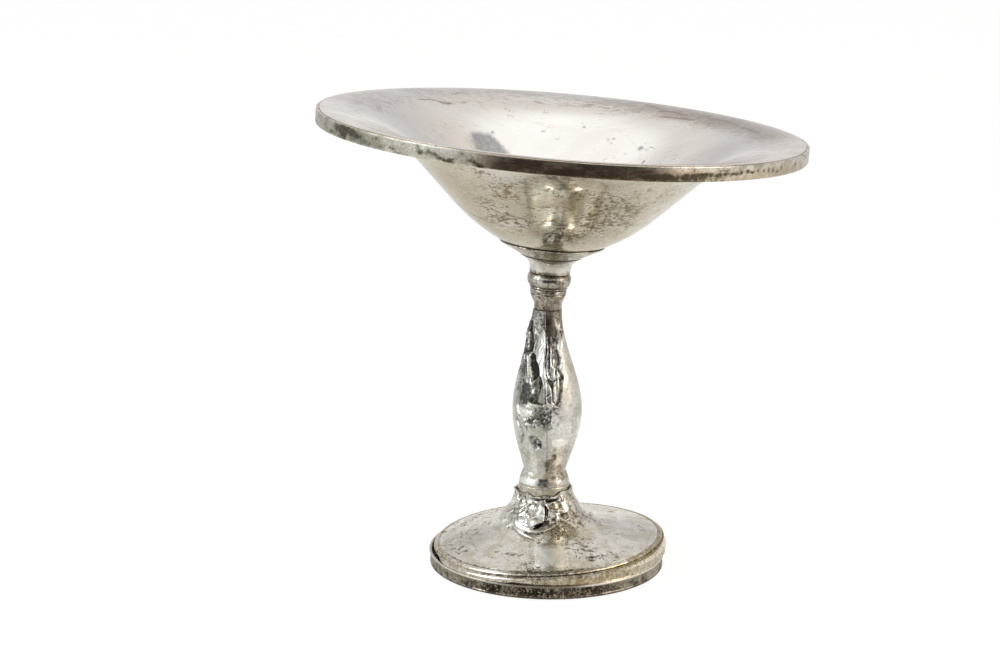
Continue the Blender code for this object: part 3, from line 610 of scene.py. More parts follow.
def foot_films_and_painted_light(points, films, neck, flat):
    """Films on the flange, on its rolled edge, bead and skirt, and in the crumpled neck, with painted reflections and
    painted shade among them.
    """
    angle, radius = round_turn(points)
    x, y, z = points.T
    lifted = np.clip(np.cos(np.radians(angle)), 0, 1) ** 0.7
    for at, reach, strength in FLANGE_MARKS:
        mark_x, mark_y = reach * math.cos(math.radians(at)), reach * math.sin(math.radians(at))
        films["grime_and_shade"] += flat * strength * hump(x, mark_x, MARK_WIDE) * hump(y, mark_y, MARK_TALL)
    # painted reflection on the flange below the neck: a pale strip, yellow at its right, with a dark painted edge at
    # its left
    reflection_strip_span = window(-y, 21.0, 32.0, 2.0)
    painted_reflection_strip = window(x, -3.4, 6.4, 0.9) * reflection_strip_span
    yellow_reflection = smooth(x, 1.2, 3.0) * painted_reflection_strip
    films["pale"] += 1.05 * painted_reflection_strip - 0.5 * yellow_reflection
    films["haze"] = 0.9 * painted_reflection_strip
    films["grime_and_shade"] += 0.3 * window(x, -5.4, -4.2, 0.5) * reflection_strip_span
    # rolled edge: olive brown, worn at two places, with a dark reflection painted on it and on the flange's edge at the
    # front, and dark lines of painted shade along the crease and the groove on both sides
    roll = smooth(radius, 34.9, 35.4) * smooth(z, 0.55, 0.75)
    worn = window(angle, 226, 250, 7) + window(angle, 296, 311, 4) * smooth(z, 1.05, 1.3)
    painted_dark_reflection = window(angle, 254, 284, 6)
    films["brown"] += roll * (0.1 * worn + (1 - worn) * (0.5 - 0.2 * painted_dark_reflection + 0.22 * lifted))
    films["grime_and_shade"] += 0.5 * roll * painted_dark_reflection + 0.3 * painted_dark_reflection * window(radius, 33.0, 34.9, 1.0) * smooth(z, 0.6, 0.8)
    films["grime_and_shade"] += 0.75 * hump(radius, 35.0, 0.24) * smooth(z, 0.6, 0.8) * window(angle, 202, 296, 8)
    groove = hump(radius, 36.78, 0.25) * window(z, 0.4, 0.75, 0.1)
    films["grime_and_shade"] += groove * (0.1 + 0.6 * window(angle, 236, 300, 12) + 0.85 * lifted)
    films["brown"] += 0.5 * groove
    # bead: brown, with deep shade where it stands off the ring at the far left
    films["grime_and_shade"] += window(angle, 158, 201, 5) * smooth(radius, 36.8, 36.95) * (1 - smooth(z, 0.1, 0.22))
    bead = smooth(radius, 36.85, 37.0) * window(z, -0.2, 0.5, 0.1)
    films["brown"] += bead * (0.36 + 0.74 * lifted)
    films["grime_and_shade"] += 0.35 * bead * window(angle, 256, 294, 6)
    # skirt: pale olive where it shows at the right, browner towards the front, with painted shade just under the bead
    # at the front
    below = smooth(radius, 36.0, 36.4) * (1 - smooth(z, -0.36, -0.2))
    films["grime_and_shade"] += below * window(angle, 250, 340, 15) * (0.6 * smooth(z, -0.8, -0.4) + 0.06)
    films["brown"] += below * (0.42 - 0.1 * lifted + 0.28 * window(angle, 272, 313, 12))
    films["pale"] += 0.3 * below * lifted
    films["olive"] = 0.9 * below * lifted + 0.5 * yellow_reflection
    # tarnish in the crumpled neck
    creased = neck * smooth(z, 6.0, 9.0) * window(angle, 200, 356, 10)
    films["grime_and_shade"] += 0.4 * creased
    films["brown"] += (0.04 + 0.12 * window(angle, 272, 356, 6)) * creased


def crumple_foot(points):
    """How the knock left the cover: neck and mouth crumpled, right edge up, bead splayed at the front left."""
    angle, radius = round_turn(points)
    x, y, z = points.T
    s = across(angle, NECK_FRONT, NECK_RADIUS)
    neck = 1 - smooth(radius, 19.0, 22.0)
    push, films = knocked(s, z, NECK_PATCHES, NECK_CREASES)
    for name in FILMS:
        films[name] *= neck
    # the left and front left of the neck stand upright instead of flaring, in small facets
    push += 1.25 * window(angle, 172, 262, 9) * hump(z, 10.6, 2.8)
    push += 0.9 * window(angle, 160, 212, 12) * hump(z, 8.8, 2.2)
    push += 0.8 * window(angle, 158, 200, 10) * smooth(z, 6.0, 9.0) * (1 - 0.5 * smooth(z, 15.0, 18.0))
    push += 0.25 * crumple(s, z, 3.0, 11) * window(angle, 178, 300, 10) * smooth(z, 5.5, 8.5)
    small = window(angle, 184, 236, 5) * window(z, 11.6, 17.2, 0.8)
    push += 0.34 * crumple(s, z, 1.9, 21) * small
    films["grime_and_shade"] += 0.3 * small * (crumple(s, z, 1.7, 21) < -0.2)
    # dished disc with a raised edge
    disc = np.hypot(s - across(245, NECK_FRONT, NECK_RADIUS), z - 13.7)
    push += 0.4 * hump(disc, 1.8, 0.28) - 0.35 * (1 - smooth(disc, 1.2, 1.8))
    out = press(points, push * neck, radius)
    # torn mouth: small tongues sprung out at both sides, its front edge dipped
    top = hump(z, MOUTH_HEIGHT, 0.6)
    tongues = 0.6 * hump(angle, 186, 7) + 0.5 * hump((angle + 180) % 360, 180, 6)
    out[:, 0] *= 1 + 0.04 * tongues * top
    out[:, 2] += 0.6 * top * hump(angle, 186, 9)
    out[:, 2] -= smooth(z, 14.5, 18.0) * (0.75 * window(angle, 240, 302, 12) + 0.2 * np.sin(np.radians(angle * 9)))
    # right edge curled up, skirt bulging out over the ring, mouth pushed to the left
    right, left = np.clip(x / BEAD_RADIUS, 0.0, 1.0), np.clip(-x / BEAD_RADIUS, 0.0, 1.0)
    out[:, 2] += np.where(z > 0.0, 0.55 * right ** 4, 0.0)
    out[:, 0] += 0.5 * left ** 6
    hem = smooth(-z, 1.3, -SKIRT_END)
    out[:, 0] += np.clip(-z / 1.3, 0, 1) * (1.2 * right ** 3 * (1 - hem) + 0.95 * right ** 6 * hem)
    out[:, 0] -= 0.6 * (np.maximum(z, 0.0) / MOUTH_HEIGHT) ** 2
    # the flange is not quite flat any more, and its rolled edge is crinkled at the right front
    flat = window(radius, 20.0, 35.2, 3.0)
    out[:, 2] += flat * (0.06 * np.sin(np.radians(angle * 3 + 40)) * np.sin(radius / 5.0)
                         + 0.03 * np.sin(x * 0.9 + 1.0) * np.sin(y * 0.7))
    edge = hump(radius, 35.7, 0.8) * smooth(z, 0.2, 0.8) * window(angle, 298, 332, 6)
    out[:, 2] += edge * 0.35 * crumple(across(angle, 0, 36), radius, 1.5, 5)
    # the bead lies splayed on the ring at the front left
    gap = 2.25 + 1.87 * np.cos(np.radians(angle))
    lying = window(angle, 206, 256, 8) * np.minimum(gap + 0.08, 1.35)
    out[:, 2] -= lying * smooth(radius, 36.5, 36.9) * (1 - smooth(z, 0.3, 0.55)) * smooth(z, -0.6, -0.1)
    splayed = window(angle, 204, 262, 6) * smooth(radius, 36.7, 36.95) * (1 - smooth(z, 0.45, 0.6))
    out[:, :2] *= (1 + 0.95 * splayed / radius)[:, None]
    foot_films_and_painted_light(points, films, neck, flat)
    return out, films


flare = [(r, z + MOUTH_HEIGHT - NECK_HEIGHT) for r, z in arc((MOUTH_RADIUS, 0.0), -77, -FLANGE_SLOPE, 11.4, 36)]
flange_drop = (FLANGE_EDGE - flare[-1][0]) * math.tan(math.radians(FLANGE_SLOPE))
cover_outer = [(36.7, SKIRT_END), (36.75, -0.25), (36.85, -0.1), (37.15, 0.0), (BEAD_RADIUS, 0.2), (37.25, 0.42),
               (36.95, 0.5), (36.72, 0.58)]
cover_outer += [(35.55 + 1.17 * math.cos(t), 0.62 + 0.86 * math.sin(t)) for t in np.linspace(0.12, 1.55, 10)]
cover_outer += [(35.3, 1.44), (35.12, 1.37), (34.95, 1.41), (FLANGE_EDGE, flare[-1][1] - flange_drop)]
cover_outer += flare[::-1] + [(MOUTH_RADIUS, MOUTH_HEIGHT - NECK_HEIGHT), (MOUTH_RADIUS, MOUTH_HEIGHT)]
cover_outer = finely(cover_outer, 0.26)
cover_line = cover_outer + inside_of(cover_outer, COVER_SHEET)[::3][::-1]
cover_line.append(cover_line[0])
foot_skin, tree, shader, colour = old_silver(
    "foot_silver", clean=rgb(0.87, 0.845, 0.80), film=rgb(0.66, 0.62, 0.52), cover=0.48, film_scale=150.0,
    specks=0.68, speck_scale=620.0, speck_colour=rgb(0.28, 0.245, 0.19), shift=(0.0, 0.4, 0.2), rough=0.085,
    stretch=(1.0, 1.0, 1.6), film_rough=0.1, grain=0.25, soft=0.1)
colour = laid_over(tree, film_at(tree, "olive"), colour, rgb(0.88, 0.83, 0.65))
lay_dirt_and_painted_light(tree, shader, colour, pale=rgb(0.93, 0.92, 0.90), brown=rgb(0.31, 0.23, 0.10),
       grime_and_shade=rgb(0.06, 0.052, 0.04), ragged=1.9, fine=800.0)
foot_cover = turned("foot_cover_sheet", cover_line, 360, foot_skin, crease=60.0)
reshape(foot_cover, crumple_foot)
stand(foot_cover, COVER_PLACE, COVER_LEAN)
hand_over(foot_cover, "foot_cover")


# Stem collar: a cast silver cup soldered to the stem's lower end, a round shoulder over a plain band.
# It stands in the torn mouth of the foot.
STEM_PLACE = (-1.016, 0.0, 25.061)
STEM_LEAN = 0.45
COLLAR_LOW, COLLAR_HIGH, COLLAR_BORE = -1.6, 6.15, 5.9


def collar_stains_and_painted_light(points):
    """Stains on the cup, with a painted highlight at the left and a painted dark reflection at the front; its lower
    edge fills the mouth at both sides.
    """
    angle, radius = round_turn(points)
    z = points[:, 2]
    cup, upper = smooth(z, 1.6, 2.4), smooth(z, 3.9, 4.7)
    # painted highlight on the left of the shoulder
    pale = 0.5 * window(angle, 196, 250, 8) * cup * (1 - upper)
    brown = 0.45 * (1 - cup) + (0.2 + 0.35 * window(angle, 266, 330, 8)) * upper
    # painted dark reflection of the bowl at the front, and stains to its right
    grime_and_shade = 0.72 * window(angle, 256, 279, 4) * window(z, 2.0, 4.6, 0.6) + 0.25 * window(angle, 284, 335, 12) * cup
    grime_and_shade += 0.2 * upper + 0.3 * hump(z, 4.1, 0.25)
    side = smooth(np.abs(np.cos(np.radians(angle))), 0.75, 0.95)
    side *= (1 - smooth(z, -0.2, 0.3)) * smooth(radius, 7.5, 8.0)
    return press(points, 0.35 * side, radius), {"pale": pale, "brown": brown, "grime_and_shade": grime_and_shade, "haze": upper}


collar_skin, tree, shader, colour = old_silver(
    "collar_silver", clean=rgb(0.70, 0.69, 0.64), film=rgb(0.45, 0.41, 0.33), cover=0.45, film_scale=300.0,
    specks=0.6, speck_scale=1100.0, speck_colour=rgb(0.18, 0.15, 0.11), shift=(0.7, 0.0, 0.3), rough=0.25,
    grain=0.2, soft=0.12, pits=0.2)
lay_dirt_and_painted_light(tree, shader, colour, pale=rgb(0.92, 0.93, 0.93), brown=rgb(0.32, 0.28, 0.19),
       grime_and_shade=rgb(0.07, 0.065, 0.055), ragged=1.3, fine=900.0)
shoulder = [(6.72 + 1.28 * math.sin(t * math.pi / 2) ** 1.2, COLLAR_HIGH - t * 4.25) for t in np.linspace(0, 1, 14)]
collar_line = [(COLLAR_BORE, COLLAR_LOW), (8.2, COLLAR_LOW), (8.1, 1.35), (8.02, 1.55), (7.88, 1.66), (7.88, 1.8),
               (7.97, 1.9)]
collar_line += shoulder[-2::-1] + [(COLLAR_BORE, COLLAR_HIGH), (COLLAR_BORE, COLLAR_LOW)]
stem_collar = turned("stem_collar_cup", finely(collar_line, 0.4), 160, collar_skin)
reshape(stem_collar, collar_stains_and_painted_light)
stand(stem_collar, STEM_PLACE, STEM_LEAN)
hand_over(stem_collar, "stem_collar")


# Stem shell: a baluster of thin stamped silver over the cement.
# It is crushed at the front left: a deep leaf-shaped dent, upright creases and a collapsed belt at the belly.
WAIST, BELLY, STEM_TOP = 6.0, 25.8, 58.4
WAIST_RADIUS, BELLY_RADIUS, TOP_RADIUS = 6.7, 11.1, 4.4
STEM_SHEET = 0.55
# the stem's marks are measured round from the front, at this radius
FRONT_ANGLE, STEM_SPREAD = 270, 9.0


def baluster(height):
    """Radius of the stem before the crush."""
    if height < BELLY:
        rise = math.sin((height - WAIST) / (BELLY - WAIST) * math.pi / 2) ** 1.2
        return WAIST_RADIUS + (BELLY_RADIUS - WAIST_RADIUS) * rise
    fall = 0.5 - 0.5 * math.cos((height - BELLY) / (STEM_TOP - BELLY) * math.pi)
    return BELLY_RADIUS - (BELLY_RADIUS - TOP_RADIUS) * fall


# pale flat facet beside the flap, and the direction it faces
STEM_FACET = [(-8.1, 51.2), (-4.1, 50.9), (-2.5, 52.3), (-1.4, 52.3), (-0.9, 49.6), (-1.5, 47.7), (-1.7, 45.9),
              (-2.4, 44.7), (-2.8, 44.0), (-3.8, 42.7), (-4.8, 43.2), (-6.1, 45.1), (-7.0, 45.7), (-6.9, 47.9)]
FACET_ANGLE = 246
# flap at the upper left
FLAP = [(-14.3, 55.2), (-10.6, 54.4), (-8.7, 51.1), (-7.5, 47.8), (-7.4, 45.7), (-11.4, 44.7), (-14.7, 44.7),
        (-14.6, 48), (-14.5, 51.3)]
# where the shell was pressed, in millimetres across the front and up the stem
STEM_PATCHES = (
    # dark upper end: grey at the left, a brown band in the middle, an olive edge at the right
    ([(-14.1, 59), (-1.9, 59.2), (-1.1, 52.3), (-2.6, 52.4), (-3.9, 50.9), (-5.6, 51.6), (-7.9, 51.7), (-9, 51.1),
      (-12.1, 52.9)], 0.5, 0, 0, 0, 0.15, 0.58),
    ([(-1.9, 59.2), (3, 59.2), (3.8, 56.3), (4.7, 53.8), (5.7, 51.9), (4.8, 50.4), (2.9, 48.3), (2, 50.5),
      (0.9, 48.1), (0.1, 50.5), (-0.6, 49.3), (-1.2, 52.3)], 0.4, -0.25, 0, 0, 0.95, 0.2),
    ([(3.4, 59.2), (14.1, 58.6), (13.2, 52.4), (9.6, 52.0), (8.6, 54.4), (6.2, 54.2), (4.4, 56)],
     1.0, 0, 0, 0, 0.65, 0.32),
    ([(-1.5, 52.5), (3.5, 53.5), (9.5, 53.5), (11.5, 51.5), (9, 49.5), (6, 48.2), (3, 47.8), (0, 48.5)],
     1.0, 0, 0, 0, 0.25, 0.45),
    # flap at the upper left with a dark crumple on it
    (FLAP, 0.5, 0.3, 0.12, 0, 0, 0.42),
    ([(-14.6, 49.3), (-12, 49.9), (-9.9, 48.8), (-11.5, 47.9), (-10.6, 46.1), (-7.9, 45.9), (-7.9, 44.7),
      (-9.7, 44.1), (-14.7, 44.4), (-14.7, 47)], 0.5, -0.45, 0, 0, 0, 0.75),
    # leaf-shaped hollow that sinks towards its right edge, black at the top: tarnish, with the dark of its reflection
    # painted over it
    ([(-6.7, 45.3), (-5.5, 44.4), (-4.6, 42.7), (-3.5, 41.6), (-2.9, 40.1), (-2.7, 38.3), (-3.3, 38.1),
      (-3.9, 37.3), (-4.9, 36.9), (-5.6, 38), (-6.4, 40), (-7.2, 42.3), (-7.4, 44.4)], 0.3, -1.6, -0.36, 0, 0, 1.0),
    ([(-6.7, 45.3), (-5.5, 44.4), (-4.6, 42.7), (-3.7, 41.4), (-6.6, 41.2), (-7.2, 42.3), (-7.4, 44.4)],
     0.4, 0, 0, 0, 0, 0.35),
    ([(-14.5, 44), (-9, 43.5), (-8.2, 40.5), (-10, 38), (-14, 38)], 1.0, 0, 0, 0, 0.05, 0.34),
    # lower hollow, dark along the ridge, and the smooth one to its left with two worn spots
    ([(-3.7, 38.2), (-2, 38.1), (-1.5, 36.9), (-1.1, 35.7), (-0.9, 33.6), (-0.7, 29.7), (-2.1, 30), (-3.7, 29.9),
      (-4.6, 30.4), (-4.1, 31.4), (-3.4, 32.8), (-3.7, 34.3), (-4.3, 35.4), (-3.8, 36.7)],
     0.35, -1.3, -0.4, 0, 0, 0.55),
    ([(-2.9, 37.6), (-1.9, 37.8), (-1.2, 35.7), (-0.9, 33.6), (-0.7, 29.7), (-1.8, 30.2), (-2.1, 33.5)],
     0.5, 0, 0, 0, 0, 0.5),
    ([(-12.8, 39.4), (-8.6, 41.4), (-6, 37), (-4.5, 34.8), (-4.3, 30.4), (-7.4, 27.9), (-10.1, 28.4), (-11.2, 31.9),
      (-12, 35.6)], 1.2, -0.55, 0.08, 0, 0, 0.48),
    ([(-8.6, 36.2), (-4.6, 34.6), (-3.8, 30.6), (-6.8, 28.9), (-8.8, 31)], 1.0, 0, 0, 0, 0, 0.42),
    ([(-5.4, 34.3), (-3.8, 34.5), (-3.6, 33), (-4.6, 32.7)], 0.3, 0.3, 0.3, 0.9, 0, 0),
    ([(-7, 36.8), (-5.6, 37), (-4.4, 36), (-4.6, 35.1), (-6, 35.4)], 0.35, 0.3, 0.3, 0.8, 0, 0),
    # pale strip that runs down between the hollows and the creased panel
    ([(-1.9, 47.7), (-0.5, 48), (-0.4, 45.9), (-0.6, 43.5), (-0.6, 41.1), (0.2, 38.8), (0.8, 36.7), (1.5, 34.6),
      (1.7, 32.1), (1.9, 29.9), (0.8, 29.5), (0, 30.9), (-0.3, 34.5), (-0.5, 36.7), (-1.4, 38.4), (-2, 40.2),
      (-2.1, 42.3), (-1.5, 44.1)], 0.3, 0.35, 0.1, 0.4, 0, 0),
    # grey hollow, two bright wedges and the dark point of the creased panel
    ([(2.9, 48.3), (4.1, 46.5), (5.2, 44.6), (5, 42.8), (4.1, 41), (2.6, 41.1), (2.2, 43.5), (2.6, 45.9)],
     0.35, -0.6, -0.25, 0, 0.15, 0.35),
    ([(0.1, 40), (1, 39.8), (1.4, 37.9), (1, 37.3), (0.5, 37.6)], 0.25, 0.4, 0.6, 1.0, 0, 0),
    ([(2, 40), (2.7, 39.8), (3.1, 38.1), (2.4, 37.4)], 0.25, 0.3, 0.5, 0.9, 0, 0),
    ([(0.3, 38.2), (1.1, 37.3), (2, 37), (3, 37.4), (2.6, 36.2), (2.1, 35.1), (1.7, 35.5), (1.1, 36.4)],
     0.25, -0.8, 0, 0, 0, 0.65),
    # collapsed belt: worn at the left, black in the folds, olive below
    ([(-9.3, 28.6), (-7.4, 27.9), (-4.5, 27.6), (-3, 26.5), (-3.3, 25.8), (-5.9, 25.3), (-7.7, 25.5), (-9.1, 26.8)],
     0.4, 0.1, 0.1, 0.75, 0, 0),
    ([(-3.1, 28.4), (-1.2, 29.1), (0.6, 29.6), (1.4, 28.4), (1.4, 24.8), (0.7, 22.5), (-0.6, 22.1), (-1.4, 23.7),
      (-3, 24.6), (-4.1, 23.4), (-5.3, 23.8), (-3.8, 25.7), (-2.7, 26.5)], 0.9, -0.3, 0, 0, 0.2, 0.66),
    ([(-8.2, 23.7), (-4.1, 24.4), (-2.4, 23.6), (-2.2, 21.7), (-4.8, 20.2), (-7.1, 21.4)], 0.8, 0, 0, 0, 0.25, 0.3),
    # small dent below the belt and its worn bottom
    ([(-5, 18.8), (-4, 19.5), (-2.5, 19.2), (-1.1, 17.6), (-0.9, 15.9), (-2.1, 15.4), (-3.1, 14.6), (-3.9, 16.2),
      (-4.8, 17.5)], 0.4, -0.7, -0.1, 0, 0, 0.6),
    ([(-3.3, 18.8), (-2.3, 18.7), (-1.4, 17.2), (-2.3, 16.8), (-3.2, 17.7)], 0.35, 0.1, 0.5, 1.0, 0, 0),
    # brown stain at the foot of the stem with a dark upper edge
    ([(-0.2, 10.1), (0.5, 11.1), (1.5, 11.4), (2.5, 11.9), (2.7, 13.3), (3.7, 13.2), (4.4, 11.7), (5.5, 10.5),
      (7.8, 8.3), (7.8, 6.9), (9.8, 5.2), (9.1, 3.4), (2.1, 4.2), (0.7, 5.5), (0.2, 7.6)], 0.8, 0, 0, 0, 0.62, 0),
    ([(0.5, 11.2), (2.5, 11.9), (2.5, 13.4), (3.8, 13.1), (4.4, 11.7), (3.4, 10.9), (1.6, 10.7), (1.7, 7.6),
      (0.7, 6.2), (0.2, 9)], 0.6, 0, 0, 0, 0.3, 0.42),
    # painted highlights at the lower right: a bright spot painted as a window's reflection and a smaller one, and a
    # paler worn side
    ([(2.1, 18.4), (7.2, 17.6), (7.2, 16.9), (5.4, 15.9), (2.4, 16.2)], 0.2, -0.1, 0.04, 1.3, 0, 0),
    ([(11.4, 20.6), (13.2, 20.8), (12.6, 18.6), (10.8, 18.8)], 0.3, -0.1, 0.04, 1.2, 0, 0),
    ([(2, 24), (13, 26), (13, 14), (7, 14), (2, 15)], 1.5, 0, 0, 0.3, 0, 0),
)
STEM_CREASES = (
    ([(-10.6, 54.4), (-8.3, 51.2), (-7.3, 47.8), (-7.4, 45.5)], 0.9, -0.8, 0, 0, 0.65),
    ([(-8.8, 44.2), (-7.7, 42.2), (-7.3, 40.4), (-6.6, 38.1)], 0.75, 0.6, 0.6, 0, 0),
    ([(-10.2, 43.7), (-9.2, 41.8)], 0.6, -0.5, 0, 0, 0.7),
    ([(-1.8, 38.7), (-1.1, 36.9), (-0.7, 35.1), (-0.6, 32.7), (-0.5, 29.6)], 0.5, 0.5, 0.9, 0, 0),
    ([(-0.4, 36.4), (-0.2, 33), (-0.1, 30.2)], 0.35, -0.25, 0, 0, 0.65),
    ([(-0.3, 48), (-0.4, 45.9), (-0.6, 43.5), (-0.6, 40.5), (0.3, 37.6), (0.9, 36.4), (1.7, 35.2)],
     0.45, -0.45, 0, 0, 0.6),
    ([(0.9, 49.6), (1.1, 46), (0.9, 44.2), (1, 42.4), (0.9, 40.3), (1.4, 38.2)], 0.6, -0.6, 0, 0, 0.6),
    ([(0.2, 47.5), (0.7, 46), (0.7, 43.9)], 0.45, 0.4, 0.9, 0, 0),
    ([(2, 46.2), (1.7, 44.1), (1.7, 41.2)], 0.5, 0.5, 0.8, 0, 0),
    ([(3.5, 40.8), (3.3, 37.5)], 0.4, -0.4, 0, 0, 0.65),
    ([(1.8, 35.5), (1.8, 32.1), (1.9, 30.5)], 0.4, -0.4, 0, 0, 0.65),
    ([(2.4, 35.4), (2.3, 31.5)], 0.4, 0.45, 0.9, 0, 0),
    ([(4.7, 37.4), (4.2, 34.4), (3.6, 32), (3, 29.7)], 0.7, -0.5, 0, 0.6, 0.45),
    ([(5.4, 51.6), (6.6, 49.6), (5.7, 47.9), (5.5, 45.7), (5.7, 44.2)], 0.7, 0.6, 0.95, 0, 0),
    ([(6, 42.1), (5.4, 40.9), (4.9, 40.2), (5.8, 38.9)], 0.5, 0.45, 0.95, 0, 0),
    ([(4.4, 37.7), (5.4, 37.6)], 0.5, -0.5, 0, 0.2, 0.8),
    ([(4.7, 46), (5, 44), (4.8, 42.2)], 0.8, -0.2, 0, 0.6, 0.45),
    ([(4.4, 40.4), (5.2, 38.8), (5.2, 37.8)], 0.8, -0.3, 0, 0.5, 0.6),
    ([(0.3, 32.6), (0.8, 33.2)], 0.35, -0.2, 0, 0, 0.9),
    ([(0.4, 21.8), (0.8, 11.6)], 0.3, -0.12, 0, 0, 0.4),
    ([(1.5, 22.5), (1.4, 25.1), (1.5, 27.7), (2.1, 29.4), (3.8, 30.6)], 0.4, -0.25, 0, 0.15, 0.3),
    ([(-9.6, 24), (-8.3, 22), (-7.2, 20.3), (-6.7, 18.8), (-8.5, 15.9)], 0.9, -0.5, 0, 0, 0.45),
    ([(-1.8, 16.2), (-1, 15.3)], 0.35, -0.3, 0, 0, 0.8),
    ([(12.1, 52), (12, 51.2)], 0.7, 0, 0, 0, 0.9),
    ([(8.7, 51.6), (8.9, 51.2)], 0.6, -0.2, 0, 0, 0.8),
    ([(9, 50.4), (9.3, 49.6), (9.7, 48.6)], 0.45, -0.2, 0, 0, 0.6),
    ([(3.6, 26), (4.2, 25.8)], 0.7, 0, 0, 0.3, 0.3),
    ([(3.1, 23.6), (3.3, 23.2)], 0.7, 0, 0, 0.3, 0.35),
    ([(6.2, 29.4), (7, 29.3)], 0.8, 0, 0, 0.1, 0.22),
)


def crush_stem(points):
    """The crushed front of the stem, and the films on it, painted light and shade among them."""
    angle, radius = round_turn(points)
    z = points[:, 2]
    s = across(angle, FRONT_ANGLE, STEM_SPREAD)
    plain = np.interp(z, [h for _, h in stem_outer], [r for r, _ in stem_outer])
    push, films = knocked(s, z, STEM_PATCHES, STEM_CREASES)
    # left side and belly as they stand after the knock
    push += 1.3 * hump(s, -12.3, 4.0) * hump(z, 50, 7.0)
    push -= 0.5 * hump(s, -14.1, 7.0) * hump(z, 23, 14.0)
    push += 0.4 * hump(np.abs(s), 14.1, 7.0) * hump(z, 25, 14.0) * (s > 0)
    push -= 0.8 * hump(s, -4.0, 4.6) * hump(z, 38, 9.0)
    # pale facet, pressed flat
    facet = smooth(within(s, z, STEM_FACET), -0.3, 0.3)
    push += facet * ((plain - 0.35) / np.cos(np.radians(np.clip(angle - FACET_ANGLE, -40, 40))) - plain)
    films["pale"] += 0.2 * facet
    # creased panel pressed in between the strip and the right ridge
    panel = window(s, -0.6, 5.4, 0.5) * window(z, 37.0, 49.0, 1.5)
    push -= 0.5 * panel
    films["grime_and_shade"] += 0.48 * panel * (crumple(s, 0.35 * z, 0.8, 9) < -0.2)
    # fine crumpling: all over the crushed front, on the flap, in the collapsed belt and at the upper right
    crushed = window(s, -14.0, 5.5, 1.0) * window(z, 20.5, 50.0, 1.5)
    push += crushed * (0.035 * crumple(s, z, 1.9, 31) + 0.012 * crumple(s, z, 0.9, 33))
    films["grime_and_shade"] += 0.1 * crushed * smooth(z, 27.0, 31.0)
    push += 0.22 * smooth(within(s, z, FLAP), -0.4, 0.4) * crumple(s, z, 1.5, 37)
    belt = hump(z, 25.2, 2.7) * window(angle, 214, 280, 6)
    small_folds = crumple(s, z, 1.1, 4)
    push += belt * (0.4 * crumple(s, z, 2.3, 3) + 0.3 * small_folds - 0.45)
    films["grime_and_shade"] += 0.3 * belt * (small_folds < -0.05)
    push += 0.25 * crumple(s, z, 1.6, 14) * window(angle, 318, 352, 6) * window(z, 47.5, 54.0, 1.5)
    # the lower stem is painted paler, as the floor lights it; fine scratches leave it and the right side hazy
    right = window(angle, 298, 358, 8) * smooth(z, 22.0, 28.0)
    films["pale"] += 0.22 * (1 - smooth(z, 18.0, 27.0))
    films["brown"] += 0.17 * window(angle, 296, 340, 10) * window(z, 27.0, 50.0, 3.0)
    films["haze"] = 0.9 * (1 - smooth(z, 17.0, 25.0)) + 0.75 * right
    return press(points, push, radius), films


stem_outer = [(baluster(h), h) for h in np.linspace(WAIST, STEM_TOP, 210)]
stem_inner = [(r - STEM_SHEET, h) for r, h in stem_outer[:-1:4] + stem_outer[-1:]]
stem_line = stem_outer + stem_inner[::-1]
stem_line.append(stem_line[0])
stem_skin, tree, shader, colour = old_silver(
    "stem_silver", clean=rgb(0.67, 0.655, 0.62), film=rgb(0.48, 0.46, 0.40), cover=0.46, film_scale=170.0,
    specks=0.38, speck_scale=700.0, speck_colour=rgb(0.22, 0.20, 0.16), shift=(0.2, 0.9, 0.1), rough=0.17,
    grain=0.2, soft=0.12)
lay_dirt_and_painted_light(tree, shader, colour, pale=rgb(0.93, 0.93, 0.90), brown=rgb(0.25, 0.20, 0.145),
       grime_and_shade=rgb(0.055, 0.055, 0.05), ragged=2.2, fine=1100.0)
stem_shell = turned("stem_shell_sheet", stem_line, 280, stem_skin, crease=75.0)
reshape(stem_shell, crush_stem)
stand(stem_shell, STEM_PLACE, STEM_LEAN)
hand_over(stem_shell, "stem_shell")


# Neck ferrule: a short turned sleeve soldered over the stem's top, swelling out to a ringed head under the knop.
# Old solder and polish have darkened it, and its top follows the knop's bend.
FERRULE_LOW, FERRULE_TOP, FERRULE_BORE = 58.7, 64.9, 3.8
NECK_BEND = 3.65


def bend_ferrule(points):
    """The sleeve's head, tipped to meet the knop."""
    bent = points.copy()
    tip = 0.2 - points[:, 0] * math.tan(math.radians(NECK_BEND))
    bent[:, 2] += smooth(points[:, 2], 62.5, FERRULE_TOP) * tip
    return bent, {}


ferrule_skin = old_silver(
    "ferrule_silver", clean=rgb(0.52, 0.49, 0.42), film=rgb(0.25, 0.22, 0.17), cover=0.52, film_scale=420.0,
    specks=0.85, speck_scale=1300.0, speck_colour=rgb(0.10, 0.08, 0.06), shift=(0.5, 0.3, 0.9), rough=0.2,
    grain=0.45, soft=0.12, pits=0.25)[0]
swell = [(4.4 + 0.9 * (0.5 - 0.5 * math.cos(t * math.pi)), 60.1 + t * 2.6) for t in np.linspace(0, 1, 12)]
head = [(5.42, 62.85), (5.55, 63.0), (5.58, 63.3), (5.5, 63.45), (5.44, 63.52), (5.52, 63.6), (5.7, 63.75),
        (5.75, 64.1), (5.72, 64.5), (5.6, 64.8), (5.45, FERRULE_TOP)]
neck_ferrule = turned("neck_ferrule_sleeve", [
    (FERRULE_BORE, FERRULE_LOW), (4.4, FERRULE_LOW), *swell, *head, (FERRULE_BORE, FERRULE_TOP),
    (FERRULE_BORE, FERRULE_LOW),
], 100, ferrule_skin)
reshape(neck_ferrule, bend_ferrule)
stand(neck_ferrule, STEM_PLACE, STEM_LEAN)
hand_over(neck_ferrule, "neck_ferrule")


